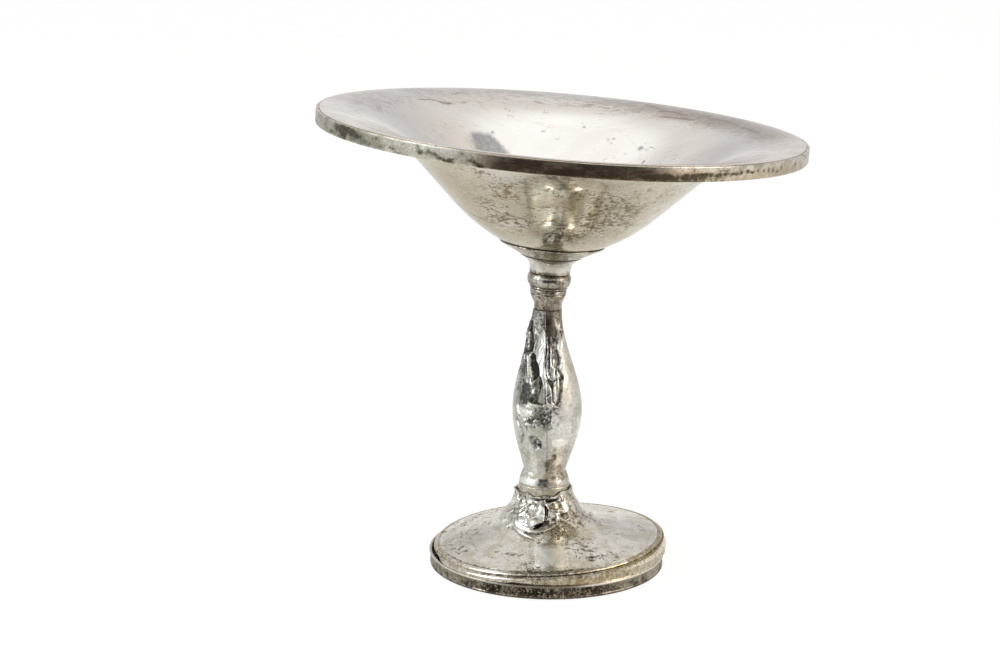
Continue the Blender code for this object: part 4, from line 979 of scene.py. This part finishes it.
# Neck knop: a full round ring of cast silver with a thin lip below, at the place where the rod has bent.
# Bright where hands held it, with tarnish in mottles.
BOWL_PLACE = (-0.506, 0.0, 89.959)
BOWL_LEAN = 4.1
KNOP_LOW, KNOP_HIGH, KNOP_BORE = 0.3, 5.266, 3.8
knop_skin = old_silver(
    "knop_silver", clean=rgb(0.54, 0.52, 0.465), film=rgb(0.28, 0.24, 0.20), cover=0.5, film_scale=380.0,
    specks=0.75, speck_scale=1200.0, speck_colour=rgb(0.10, 0.08, 0.06), shift=(0.1, 0.6, 0.5), rough=0.15,
    grain=0.4, soft=0.12, pits=0.2)[0]
knop_lip = [(5.3, KNOP_LOW), (5.8, 0.34), (5.96, 0.5), (5.98, 0.7), (5.9, 0.88), (5.7, 1.02), (5.68, 1.08)]
knop_round = [(5.75 + 1.15 * math.cos(t), 3.17 + 2.1 * math.sin(t)) for t in np.linspace(-1.5, 1.5, 25)]
neck_knop = turned("neck_knop_ring", [
    (KNOP_BORE, KNOP_LOW), *knop_lip, *knop_round, (KNOP_BORE, KNOP_HIGH), (KNOP_BORE, KNOP_LOW),
], 120, knop_skin)
stand(neck_knop, BOWL_PLACE, BOWL_LEAN)
hand_over(neck_knop, "neck_knop")


# Bowl boss: a stepped calyx of spun silver soldered under the bowl, with a concave neck.
# Dark seams run along both steps.
BOSS_LOW, BOSS_NECK = 5.4, (6.4, 6.066)


def seam_boss(points):
    """Black solder seams at both steps, and a neck that is worn pale with a brown middle."""
    angle, radius = round_turn(points)
    z = points[:, 2]
    seam = hump(radius, 9.62, 0.14) + 0.35 * hump(radius, 8.4, 0.18)
    edge = 0.8 * smooth(radius, 16.2, 16.4) * smooth(z, 14.86, 14.98)
    neck = window(z, 6.0, 10.0, 0.6)
    middle = neck * window(angle, 236, 300, 14)
    return points, {"pale": 0.6 * neck, "brown": 0.22 * smooth(radius, 9.7, 10.4) + 0.38 * middle,
                    "grime_and_shade": seam + edge + 0.1 * middle}


boss_skin, tree, shader, colour = old_silver(
    "boss_silver", clean=rgb(0.54, 0.515, 0.435), film=rgb(0.31, 0.275, 0.20), cover=0.5, film_scale=300.0,
    specks=0.95, speck_scale=1000.0, speck_colour=rgb(0.15, 0.12, 0.08), shift=(0.9, 0.2, 0.4), rough=0.14,
    grain=0.35, soft=0.14, pits=0.2)
lay_dirt_and_painted_light(tree, shader, colour, pale=rgb(0.8, 0.8, 0.75), brown=rgb(0.3, 0.26, 0.17), grime_and_shade=rgb(0.06, 0.05, 0.035),
       ragged=1.2, fine=1000.0)
boss_line = [(BOSS_NECK[0], BOSS_LOW), BOSS_NECK] + arc(BOSS_NECK, 90, 23.3, 2.9, 16)
boss_line += [(9.5, 10.55), (9.62, 10.62), (9.64, 10.78), (9.74, 10.92)]
boss_line += [(9.74 + 6.5 * t, 10.92 + 3.5 * t) for t in np.linspace(0.05, 1, 12)]
boss_line += [(16.44, 14.5), (16.58, 14.62), (16.62, 14.78), (16.58, 14.94), (16.46, 15.04), (16.42, 15.08)]
boss_line += [(14.6, 14.2), (13.9, 13.95), (9.2, 11.3), (6.2, 9.0), (5.8, 6.5), (5.8, BOSS_LOW), boss_line[0]]
bowl_boss = turned("bowl_boss_calyx", finely(boss_line, 0.3), 160, boss_skin, crease=22.0)
reshape(bowl_boss, seam_boss)
stand(bowl_boss, BOWL_PLACE, BOWL_LEAN)
hand_over(bowl_boss, "bowl_boss")


# Bowl: one disc of silver sheet spun into a cone that curves out to a flat brim, soldered to the boss.
# Bright and faintly pink inside; outside, a yellow-grey tarnish full of fine brown squiggles.
BOWL_SHEET = 0.9
BOWL_FLOOR = 13.475
LOW_START, WALL_START, WALL_END = (14.6, 14.24), (32.0, 26.199), (43.4, 37.599)
# marks are measured round from the back inside, and from the front outside, at these radii
BACK_ANGLE, INSIDE_SPREAD, OUTSIDE_SPREAD = 90, 50, 30


def in_bowl(*corners):
    """Places inside the bowl, given as (angle, radius), in millimetres across and out."""
    return [(across(angle, BACK_ANGLE, INSIDE_SPREAD), radius) for angle, radius in corners]


def under_bowl(*corners):
    """Places on the bowl's outside, given as (angle, height), in millimetres across and up."""
    return [(across(angle, FRONT_ANGLE, OUTSIDE_SPREAD), height) for angle, height in corners]


INSIDE_PATCHES = (
    # painted reflection: a grey-blue patch at the back left of the well
    (in_bowl((130.3, 46.9), (123.6, 47.2), (119.4, 46.5), (117.1, 44.9), (115.2, 43), (112, 39.5), (117, 37),
             (126, 37), (133.6, 40), (134.2, 45)), 1.8, 0, 0, 0, 0, 0.36),
    (in_bowl((128.3, 46.9), (120, 46.4), (117.6, 44.5), (113.6, 40.5), (116, 37), (124, 37), (130, 42)),
     1.3, 0, 0, 0, 0, 0.42),
    # lavender brown along the back right of the brim
    (in_bowl((92, 70), (79.4, 72), (67.9, 72), (55.7, 72), (43, 72.5), (27, 73), (10.9, 74), (6, 67), (14, 63),
             (24.6, 64.6), (34, 62), (41.3, 60.3), (47.5, 62.6), (57.1, 60.2), (68.2, 61.6), (78.1, 62.4),
             (85.8, 61.4), (92, 64)), 3.5, 0, 0, 0, 0.2, 0),
    (in_bowl((131, 61.2), (128, 60.6), (129, 58.8), (131, 59.2)), 0.5, 0, 0, 0, 0.45, 0),
    (in_bowl((123.5, 61.7), (121, 61), (122, 59), (124, 59)), 0.9, 0, 0, 0, 0.3, 0),
    (in_bowl((160, 74), (130, 74), (100, 74), (100, 70), (118, 67.5), (130, 67), (150, 69)), 1.5, 0, 0, 0, 0.16, 0),
    (in_bowl((25.4, 63.4), (22.7, 65.2), (17, 62), (20, 59)), 1.5, 0, 0, 0.5, 0, 0),
)
INSIDE_CREASES = tuple((in_bowl(*path), width, 0, pale, brown, grime_and_shade) for path, width, pale, brown, grime_and_shade in (
    (((138, 63.3), (133.9, 62.8), (131.8, 61.8), (130.4, 60.4), (128.2, 60.1)), 0.8, 0, 0.75, 0),
    (((128, 59.9), (125, 59.9), (121.6, 60.6)), 0.9, 0, 0.35, 0),
    (((130.6, 65.7), (126.3, 65.1)), 1.2, 0, 0.25, 0),
    (((122.6, 66.4), (119.9, 68.8), (117.7, 69.5)), 0.8, 0, 0.4, 0),
    (((112.1, 65.2), (110.3, 63.5)), 0.9, 0, 0.35, 0),
    (((107.5, 66), (106.6, 63.4)), 0.9, 0, 0.4, 0),
    (((109.1, 57.5), (108.3, 56.5), (107.2, 55.5)), 0.6, 0, 0.55, 0),
    (((98, 63), (96.6, 62.2)), 0.8, 0, 0.5, 0),
    (((100.7, 60.3), (100.6, 59)), 0.6, 0, 0.4, 0),
    (((139.1, 51.4), (138.1, 49.9)), 0.6, 0, 0.3, 0),
    (((132.4, 49.4), (130.1, 48.7)), 0.6, 0, 0.35, 0),
    (((124.6, 49.2), (122.3, 48.6)), 0.6, 0, 0.35, 0),
    (((140.7, 49.5), (139.3, 48.3)), 0.6, 0, 0.3, 0),
    (((116.8, 60.4), (116.7, 57.2), (116.2, 55.7)), 0.7, 0, 0.3, 0),
    (((142.9, 66.6), (140.6, 65.3)), 1.2, 0, 0.3, 0),
    (((154.4, 56.3), (157.6, 53.1), (159.5, 51.5)), 0.7, 0, 0.25, 0),
    (((79, 51.3), (75.2, 51.4), (71.3, 51.3), (68, 51), (64.5, 49.7), (60.3, 47.9), (56.6, 46.1), (53.5, 44.4),
      (50.8, 42.4)), 0.7, 0, 0, 0.2),
    (((52.4, 45.8), (50.4, 45.6)), 0.5, 0, 0.3, 0.5),
    (((51, 46.9), (47.8, 46.7)), 0.5, 0, 0.3, 0.5),
    (((66.1, 71.6), (62.9, 68.7), (59.7, 67.8)), 0.9, 0, 0.3, 0),
    (((60.1, 65.9), (57, 67.5), (53, 66.4)), 1.0, 0, 0.45, 0),
    (((57.4, 62), (53, 62.9), (47.5, 63.7)), 0.9, 0, 0.4, 0),
    (((47.5, 68.6), (45.3, 69.1)), 0.8, 0, 0.5, 0),
    (((43.3, 67.9), (39, 68.4), (33.1, 67.6)), 1.0, 0, 0.35, 0),
    (((28.6, 67), (20.6, 66.6)), 1.0, 0, 0.45, 0),
    (((88.7, 62.5), (84.8, 61.6), (81.2, 62.7)), 0.9, 0, 0.3, 0),
    (((82.6, 63.6), (81.2, 64.6)), 0.7, 0, 0.45, 0),
    (((76.9, 62.8), (75.6, 62.7)), 0.7, 0, 0.5, 0),
    (((43.1, 61.3), (44, 64.2), (44.1, 66.1)), 0.7, 0.6, 0, 0),
))
# dark dots inside: angle, radius and size
INSIDE_DOTS = (
    (118.2, 46.8, 0.45), (96.5, 47.8, 0.55), (81.6, 52.3, 0.4), (81.2, 50.8, 0.5), (70.4, 47.2, 0.45),
    (69.4, 48.1, 0.35), (67.9, 47.6, 0.4), (68.4, 46, 0.4), (69.6, 46.5, 0.3), (54.6, 46, 0.75), (54.4, 47.9, 0.4),
    (49.1, 42, 0.6),
)
# where the squiggles gather on the outside: outline, soft edge and share
TARNISHED = (
    (under_bowl((231, 29), (242.5, 31), (248, 29), (255.5, 27), (254, 23), (242, 21.5), (229, 22), (222, 25)),
     1.5, 0.6),
    (under_bowl((282, 38), (287.3, 39.5), (297, 37.5), (310.6, 32.3), (316, 26.4), (315, 21.3), (298, 21),
                (281, 20), (270, 21), (273, 24), (281, 25.5), (286, 28)), 1.8, 0.95),
    (under_bowl((242.7, 38.4), (252.2, 39.2), (251, 36.3), (244, 33), (240, 34.7)), 1.2, 0.5),
)
# dark lines on the outside; the upright one at the front left is a painted edge of a reflection
UNDER_CREASES = tuple((under_bowl(*path), width, 0, 0, 0, grime_and_shade) for path, width, grime_and_shade in (
    (((258.2, 40.3), (257.1, 37.7), (257.1, 36.7), (257.5, 35), (257.3, 32.1)), 0.6, 0.5),
    (((286.5, 39.1), (287.4, 36.2), (288.1, 33.6), (289.7, 29.9)), 0.6, 0.55),
    (((290.6, 33.3), (294, 32.6), (296.5, 33.7), (299.8, 33.3)), 0.4, 0.45),
    (((231.4, 29), (240.3, 27.9), (251.2, 27.3), (254.8, 26.9)), 0.7, 0.55),
    (((200, 28), (210.8, 24.7), (227.4, 23.5), (243.2, 23)), 0.7, 0.5),
))


def bowl_films_and_painted_light(points):
    """Stains inside and outside the bowl, a painted reflection among them, and where its squiggles gather."""
    angle, radius = round_turn(points)
    z = points[:, 2]
    middle = np.interp(radius, [r for r, _ in bowl_outer], [h for _, h in bowl_outer]) + BOWL_SHEET / 2
    inner = z > middle
    s = across(angle, BACK_ANGLE, INSIDE_SPREAD)
    films = knocked(s, radius, INSIDE_PATCHES, INSIDE_CREASES)[1]
    for at, reach, size in INSIDE_DOTS:
        aside = (s - across(at, BACK_ANGLE, INSIDE_SPREAD)) * reach / INSIDE_SPREAD
        films["grime_and_shade"] += 1.1 * hump(np.hypot(aside, radius - reach), 0.0, size)
    s = across(angle, FRONT_ANGLE, OUTSIDE_SPREAD)
    under = knocked(s, z, (), UNDER_CREASES)[1]
    films = {name: np.where(inner, films[name], under[name]) for name in FILMS}
    # thin veils along the brim at the right and the front
    brim = smooth(radius, 54.0, 66.0)
    veil = 0.46 * np.clip(1.6 * np.cos(np.radians(angle)), 0, 1)
    veil += 0.5 * window(angle, 195, 320, 20) * smooth(radius, 60.0, 70.0)
    # tarnish outside at both sides and round the boss, and the shade of the seam
    sides = 0.46 * (1 - window(angle, 238, 302, 16)) + 0.25 * window(angle, 190, 228, 8)
    sides += 0.26 * (1 - smooth(z, 18.0, 25.0))
    films["brown"] += np.where(inner, brim * veil, sides)
    films["grime_and_shade"] += ~inner * 0.6 * hump(radius, 16.75, 0.3)
    # squiggles gather low on the outside, and on the brim inside
    gathered = sum(share * smooth(within(s, z, outline), -soft, soft) for outline, soft, share in TARNISHED)
    gathered += 0.35 * (1 - smooth(np.abs(z - 30.0), 6.0, 11.0))
    films["tarnish"] = np.where(inner, brim, gathered)
    return points, films


bowl_outer = [(0.0, BOWL_FLOOR), (5.5, BOWL_FLOOR), (11.0, BOWL_FLOOR)] + arc((11.0, BOWL_FLOOR), 0, 24, 3.6, 6)
bowl_outer += [LOW_START] + arc(LOW_START, 24, 45, 17.4, 36)
bowl_outer += [(WALL_START[0] + 11.4 * t, WALL_START[1] + 11.4 * t) for t in np.linspace(0.05, 1, 20)]
bowl_outer += arc(WALL_END, 45, 2, 31.65, 60)
bowl_line = bowl_outer + inside_of(bowl_outer, BOWL_SHEET)[::-1]
bowl_line[-1] = (0.0, bowl_line[-1][1])
RIM_ALONG = (len(bowl_outer) - 0.5) / (len(bowl_line) - 1)
bowl_skin, tree, shader, outside = old_silver(
    "bowl_silver", clean=rgb(0.80, 0.78, 0.70), film=rgb(0.63, 0.57, 0.455), cover=0.5, film_scale=45.0,
    specks=0.6, speck_scale=1000.0, speck_colour=rgb(0.22, 0.17, 0.10), shift=(0.0, 0.0, 0.6), rough=0.07,
    stretch=(1.0, 1.0, 1.8), film_rough=0.06, dimple=0.006, grain=0.15, soft=0.1, pits=0.12)
tarnish = film_at(tree, "tarnish")
squiggles = from_group(tree, speck_group, Amount=sum_of(tree, "MULTIPLY_ADD", tarnish, 0.42, 0.71), Scale=640.0,
                       Soft=0.16, Stretch=(1.0, 1.0, 2.6), Shift=(0.3, 0.3, 0.1))["Mask"]
outside = laid_over(tree, sum_of(tree, "MULTIPLY", squiggles, 0.92), outside, rgb(0.22, 0.17, 0.095))
inside_film = from_group(tree, film_group, Clean=rgb(0.895, 0.872, 0.845), Film=rgb(0.81, 0.77, 0.742), Cover=0.46,
                         Scale=30.0, Stretch=(0.6, 1.6, 1.0), Shift=(0.4, 0.8, 0.0))
inside_specks = from_group(tree, speck_group, Amount=sum_of(tree, "MULTIPLY_ADD", tarnish, 0.6, 0.48), Scale=520.0,
                           Soft=0.16, Stretch=(0.6, 1.3, 1.6), Shift=(0.7, 0.1, 0.0))["Mask"]
inside = laid_over(tree, sum_of(tree, "MULTIPLY", inside_specks, 0.48), inside_film["Color"],
                   rgb(0.44, 0.36, 0.32))
is_inside = between(tree, film_at(tree, "along"), RIM_ALONG - 0.001, RIM_ALONG + 0.001)
outside_dull = shader.inputs["Roughness"].links[0].from_socket
inside_dull = sum_of(tree, "MULTIPLY_ADD", inside_film["Mask"], 0.06, 0.12)
feed(tree, shader, {
    "Roughness": put(tree, "ShaderNodeMix", {0: is_inside, 2: outside_dull, 3: inside_dull}).outputs[0],
})
lay_dirt_and_painted_light(tree, shader, laid_over(tree, is_inside, outside, inside), pale=rgb(0.90, 0.87, 0.82),
       brown=laid_over(tree, is_inside, rgb(0.38, 0.33, 0.225), rgb(0.37, 0.30, 0.25)),
       grime_and_shade=laid_over(tree, is_inside, rgb(0.17, 0.15, 0.11), rgb(0.30, 0.31, 0.33)), ragged=0.8)
bowl = turned("bowl_sheet", bowl_line, 360, bowl_skin, crease=50.0)
reshape(bowl, bowl_films_and_painted_light)
stand(bowl, BOWL_PLACE, BOWL_LEAN)
hand_over(bowl, "bowl")


# Rim band: a flat drawn wire bent round the bowl's edge and soldered, standing upright.
# Its upper edge is worn bright, and its face is mottled olive, brown and black.
BAND_LOW, BAND_HIGH = 47.852, 52.152
BAND_RADIUS, BAND_BACK, LEDGE_RADIUS = 76.0, 75.1, 73.6
LEDGE_LOW, LEDGE_HIGH = 50.01, 50.71
# dark blots on the band's face: angle, height, half width, half height and strength
BAND_BLOTS = (
    (201.9, 50.4, 1.5, 0.8, 0.3), (206.1, 48.9, 2, 0.6, 0.6), (209.7, 50.6, 2.5, 1.5, 0.6),
    (212.7, 51, 2.2, 1.8, 0.9), (213, 49.3, 1.6, 1.2, 0.9), (215.5, 51, 1.8, 1, 0.8), (217.6, 50.2, 2.5, 1.6, 0.55),
    (220.4, 50, 3, 1.6, 0.45), (222.8, 49, 3, 1.2, 0.45), (225.2, 51, 1.6, 0.6, 0.8), (226.6, 48.9, 3, 1.2, 0.5),
    (230.4, 49.2, 1.4, 0.6, 0.8), (231.9, 48.3, 2, 0.45, 0.7), (233.4, 51, 1.5, 0.7, 0.55),
    (237.4, 51.2, 0.8, 0.8, 0.7), (238.1, 49.7, 1.6, 0.8, 1), (240.1, 50.4, 0.8, 1, 0.7),
    (241.6, 49.8, 1.6, 0.9, 0.8), (243.4, 49, 2, 0.6, 0.8), (245.1, 48.5, 2.4, 0.6, 0.85),
    (246.2, 49.3, 1.2, 0.4, 0.6), (248.3, 51.1, 1.6, 0.7, 0.5), (249.7, 49.3, 2.5, 1, 0.5),
    (250.8, 49.8, 1.5, 1, 0.5), (252.6, 48.5, 1.4, 0.8, 1.1), (287.6, 49.3, 3.5, 0.8, 0.8),
    (292.1, 49.3, 3, 0.9, 0.6), (297.6, 49.3, 2, 0.6, 0.9), (299.5, 49.5, 2.5, 0.7, 0.7),
    (302.4, 49.9, 2.4, 0.5, 0.9), (305.5, 49.5, 0.8, 0.6, 0.8), (307.2, 51, 1.6, 0.35, 0.6),
    (307.3, 50, 1.2, 0.35, 0.6), (310.2, 49.9, 1.6, 0.5, 0.6), (312.1, 50.2, 0.7, 0.8, 0.7),
    (314, 50.5, 0.9, 0.5, 0.8), (315.6, 50, 1.2, 0.4, 0.7), (317.6, 50.3, 0.6, 0.7, 0.5),
    (319.6, 50.1, 0.6, 0.8, 0.6), (321.5, 50.2, 0.5, 0.9, 0.5), (323.2, 49.9, 0.8, 0.7, 0.5),
    (325.2, 49.4, 1.5, 0.3, 0.7), (326.9, 50.5, 0.5, 0.8, 0.7), (334.6, 50.4, 0.5, 0.6, 0.6),
)


def blot_band(points):
    """Blots and brown film on the band's face, and a dulled upper edge at the front left."""
    angle, radius = round_turn(points)
    z = points[:, 2]
    face = smooth(radius, 75.3, 75.8)
    top = smooth(z, BAND_HIGH - 0.2, BAND_HIGH - 0.05)
    dulled = window(angle, 206, 262, 12) * smooth(z, BAND_HIGH - 0.55, BAND_HIGH - 0.25)
    grime_and_shade = np.zeros(z.shape)
    for at, height, wide, tall, share in BAND_BLOTS:
        strength = share * (1.4 if at > 290 else 1.05)
        grime_and_shade += strength * hump(across(angle, at, BAND_RADIUS), 0.0, wide) * hump(z, height, tall)
    grime_and_shade += 0.3 * window(angle, 254, 303, 6) * (1 - smooth(z, 48.7, 50.2)) + 0.26 * window(angle, 205, 221, 4)
    grime_and_shade += 0.34 * window(angle, 288, 311, 4) * (1 - smooth(z, 50.0, 51.4))
    brown = 0.55 * window(angle, 250, 345, 12) * (1 - smooth(z, 50.2, 51.6)) + 0.4 * window(angle, 252, 300, 8)
    pale = 0.35 * window(angle, 228, 252, 5) * smooth(z, 49.5, 51.0)
    return points, {"pale": pale * face, "brown": brown * face + 0.12 * top + 0.3 * dulled,
                    "grime_and_shade": grime_and_shade * face * (1 - top), "haze": dulled}


band_skin, tree, shader, colour = old_silver(
    "band_silver", clean=rgb(0.66, 0.63, 0.55), film=rgb(0.37, 0.34, 0.265), cover=0.42, film_scale=190.0,
    specks=0.55, speck_scale=420.0, speck_colour=rgb(0.16, 0.145, 0.10), shift=(0.2, 0.2, 0.2), rough=0.16,
    stretch=(1.0, 1.0, 1.5), grain=0.15, soft=0.16, pits=0.15)
lay_dirt_and_painted_light(tree, shader, colour, pale=rgb(0.80, 0.80, 0.74), brown=rgb(0.46, 0.36, 0.25), grime_and_shade=rgb(0.08, 0.068, 0.045),
       ragged=1.7, fine=900.0)
band_face = finely([(BAND_RADIUS, BAND_LOW + 0.3), (BAND_RADIUS, BAND_HIGH - 0.3)], 0.3)[1:-1]
rim_band = turned("rim_band_wire", rounded([
    (BAND_BACK, BAND_LOW, 0.1), (BAND_RADIUS, BAND_LOW, 0.25), *((r, h, 0.0) for r, h in band_face),
    (BAND_RADIUS, BAND_HIGH, 0.3), (BAND_BACK, BAND_HIGH, 0.1), (BAND_BACK, LEDGE_HIGH, 0.0),
    (LEDGE_RADIUS, LEDGE_HIGH, 0.0), (LEDGE_RADIUS, LEDGE_LOW, 0.0), (BAND_BACK, LEDGE_LOW, 0.0),
]), 900, band_skin)
reshape(rim_band, blot_band)
stand(rim_band, BOWL_PLACE, BOWL_LEAN)
hand_over(rim_band, "rim_band")


# Studio: a white sweep that shows as plain white, soft panels at both sides and above, and the dark room behind the
# camera, which the polished silver mirrors.
def facing(tree, direction, way):
    """How far a direction, laid flat, turns towards a way on the floor."""
    flat = put(tree, "ShaderNodeVectorMath", {0: direction, 1: (1.0, 1.0, 0.0)}, operation="MULTIPLY").outputs[0]
    flat = put(tree, "ShaderNodeVectorMath", {0: flat}, operation="NORMALIZE").outputs[0]
    return put(tree, "ShaderNodeVectorMath", {0: flat, 1: way}, operation="DOT_PRODUCT").outputs["Value"]


def any_of(tree, *rays):
    """One for rays of any of these kinds."""
    path = put(tree, "ShaderNodeLightPath").outputs
    total = path[rays[0]]
    for ray in rays[1:]:
        total = sum_of(tree, "MAXIMUM", total, path[ray])
    return total


FRONT = (0.087, -0.996, 0.0)
RIGHT = (1.0, 0.0, 0.0)
WHITE = rgb(1.0, 1.0, 1.0)
ROOM_SIDES = (0.72, 0.83)
MIRRORING = ("Is Glossy Ray", "Is Transmission Ray")
world = bpy.data.worlds.new("studio")
bpy.context.scene.world = world
world.use_nodes = True
tree = world.node_tree
tree.nodes.clear()
direction = put(tree, "ShaderNodeTexCoord").outputs["Generated"]
climb = put(tree, "ShaderNodeSeparateXYZ", {"Vector": direction}).outputs["Z"]
to_front = facing(tree, direction, FRONT)
to_right = facing(tree, direction, RIGHT)
surround = laid_over(tree, between(tree, to_right, -0.8, 0.8), rgb(0.84, 0.88, 0.90), rgb(0.93, 0.86, 0.77))
back_wall = laid_over(tree, between(tree, climb, 0.08, 0.27), rgb(0.88, 0.86, 0.84), rgb(0.65, 0.64, 0.64))
back_wall = laid_over(tree, between(tree, climb, 0.36, 0.66), back_wall, rgb(0.80, 0.78, 0.75))
surround = laid_over(tree, between(tree, to_front, -0.2, -0.75), surround, back_wall)
room = sum_of(tree, "MULTIPLY", between(tree, to_front, *ROOM_SIDES), between(tree, climb, 0.14, 0.34, 1.0, 0.0))
surround = laid_over(tree, room, surround, rgb(0.05, 0.045, 0.04))
surround = laid_over(tree, between(tree, climb, 0.70, 0.94), surround, rgb(1.15, 1.15, 1.13))
mirrored, seen, lit = (put(tree, "ShaderNodeBackground", {"Color": colour, "Strength": strength}).outputs[0]
                       for colour, strength in ((surround, 1.0), (WHITE, 1.0), (WHITE, 0.55)))
shown = put(tree, "ShaderNodeMixShader", {0: any_of(tree, *MIRRORING), 1: lit, 2: mirrored}).outputs[0]
shown = put(tree, "ShaderNodeMixShader", {0: any_of(tree, "Is Camera Ray"), 1: shown, 2: seen}).outputs[0]
put(tree, "ShaderNodeOutputWorld", {"Surface": shown})

FLOOR_SIZE, FLOOR_HEIGHT = 3.0, -0.05
floor_mesh = bpy.data.meshes.new("floor")
floor_mesh.from_pydata([(FLOOR_SIZE * x, FLOOR_SIZE * y, FLOOR_HEIGHT * MM) for x, y in
                        ((-1, -1), (1, -1), (1, 1), (-1, 1))], [], [(0, 1, 2, 3)])
floor = bpy.data.objects.new("floor", floor_mesh)
bpy.context.scene.collection.objects.link(floor)
floor_skin, tree, shader = bare_material("white_sweep")
place = on_piece(tree)
away = put(tree, "ShaderNodeVectorMath", {0: place}, operation="LENGTH").outputs["Value"]
dark_front = sum_of(tree, "MULTIPLY", between(tree, facing(tree, place, FRONT), *ROOM_SIDES),
                    between(tree, away, 0.22, 0.5))
dark_front = sum_of(tree, "MULTIPLY", dark_front, any_of(tree, *MIRRORING))
paper = put(tree, "ShaderNodeBsdfDiffuse", {
    "Color": laid_over(tree, dark_front, rgb(0.86, 0.85, 0.83), rgb(0.06, 0.05, 0.05)),
}).outputs[0]
white = put(tree, "ShaderNodeEmission", {"Color": WHITE, "Strength": 1.06}).outputs[0]
share = sum_of(tree, "MULTIPLY", any_of(tree, "Is Camera Ray"), 0.88)
sweep = put(tree, "ShaderNodeMixShader", {0: share, 1: paper, 2: white}).outputs[0]
feed(tree, tree.nodes["Material Output"], {"Surface": sweep})
tree.nodes.remove(shader)
floor_mesh.materials.append(floor_skin)

PANEL_POWER = 5.0
DISH_MIDDLE = Vector((0.0, 0.0, 0.08))


def soft_panel(name, place, size, colour):
    """A soft lamp at a place, turned towards the middle of the dish."""
    lamp = bpy.data.lights.new(name, "AREA")
    lamp.shape = "RECTANGLE"
    lamp.size, lamp.size_y = size
    lamp.energy = PANEL_POWER
    lamp.color = colour
    holder = bpy.data.objects.new(name, lamp)
    holder.location = place
    holder.rotation_euler = (DISH_MIDDLE - Vector(place)).to_track_quat("-Z", "Y").to_euler()
    bpy.context.scene.collection.objects.link(holder)
    return holder


soft_panel("left_panel", (-0.95, -0.35, 0.55), (0.6, 0.8), (0.93, 0.98, 1.0))
soft_panel("right_panel", (0.95, -0.35, 0.55), (0.6, 0.8), (1.0, 0.95, 0.88))
soft_panel("top_panel", (0.0, -0.1, 1.2), (0.9, 0.9), (1.0, 0.98, 0.96)).visible_glossy = False


# Camera: the photograph's place and frame, 1000 by 667.
# It looks a little down on the dish, turned so that the dish stands right of the middle.
FRAME_WIDTH, FRAME_HEIGHT = 1000.0, 667.0
FOCAL, SENSOR = 2215.8, 36.0
CENTRE = (549.1, 350.2)
DISTANCE, ELEVATION, ROLL = 0.720, math.radians(19.11), math.radians(0.8)
LOOK_AT = Vector((0.0, 0.0, 0.07))
camera_data = bpy.data.cameras.new("camera")
camera = bpy.data.objects.new("camera", camera_data)
bpy.context.scene.collection.objects.link(camera)
stand_point = Vector((0.0, -DISTANCE * math.cos(ELEVATION), DISTANCE * math.sin(ELEVATION)))
aim = (LOOK_AT - stand_point).to_track_quat("-Z", "Y").to_matrix()
aim = aim @ Matrix.Rotation(ROLL, 3, "Z")
aim = aim @ Matrix.Rotation(math.atan((CENTRE[0] - FRAME_WIDTH / 2) / FOCAL), 3, "Y")
aim = aim @ Matrix.Rotation(math.atan((CENTRE[1] - FRAME_HEIGHT / 2) / FOCAL), 3, "X")
camera.matrix_world = Matrix.Translation(stand_point) @ aim.to_4x4()
camera_data.sensor_width = SENSOR
camera_data.lens = FOCAL * SENSOR / FRAME_WIDTH
bpy.context.scene.camera = camera
bpy.context.scene.view_settings.view_transform = "Standard"
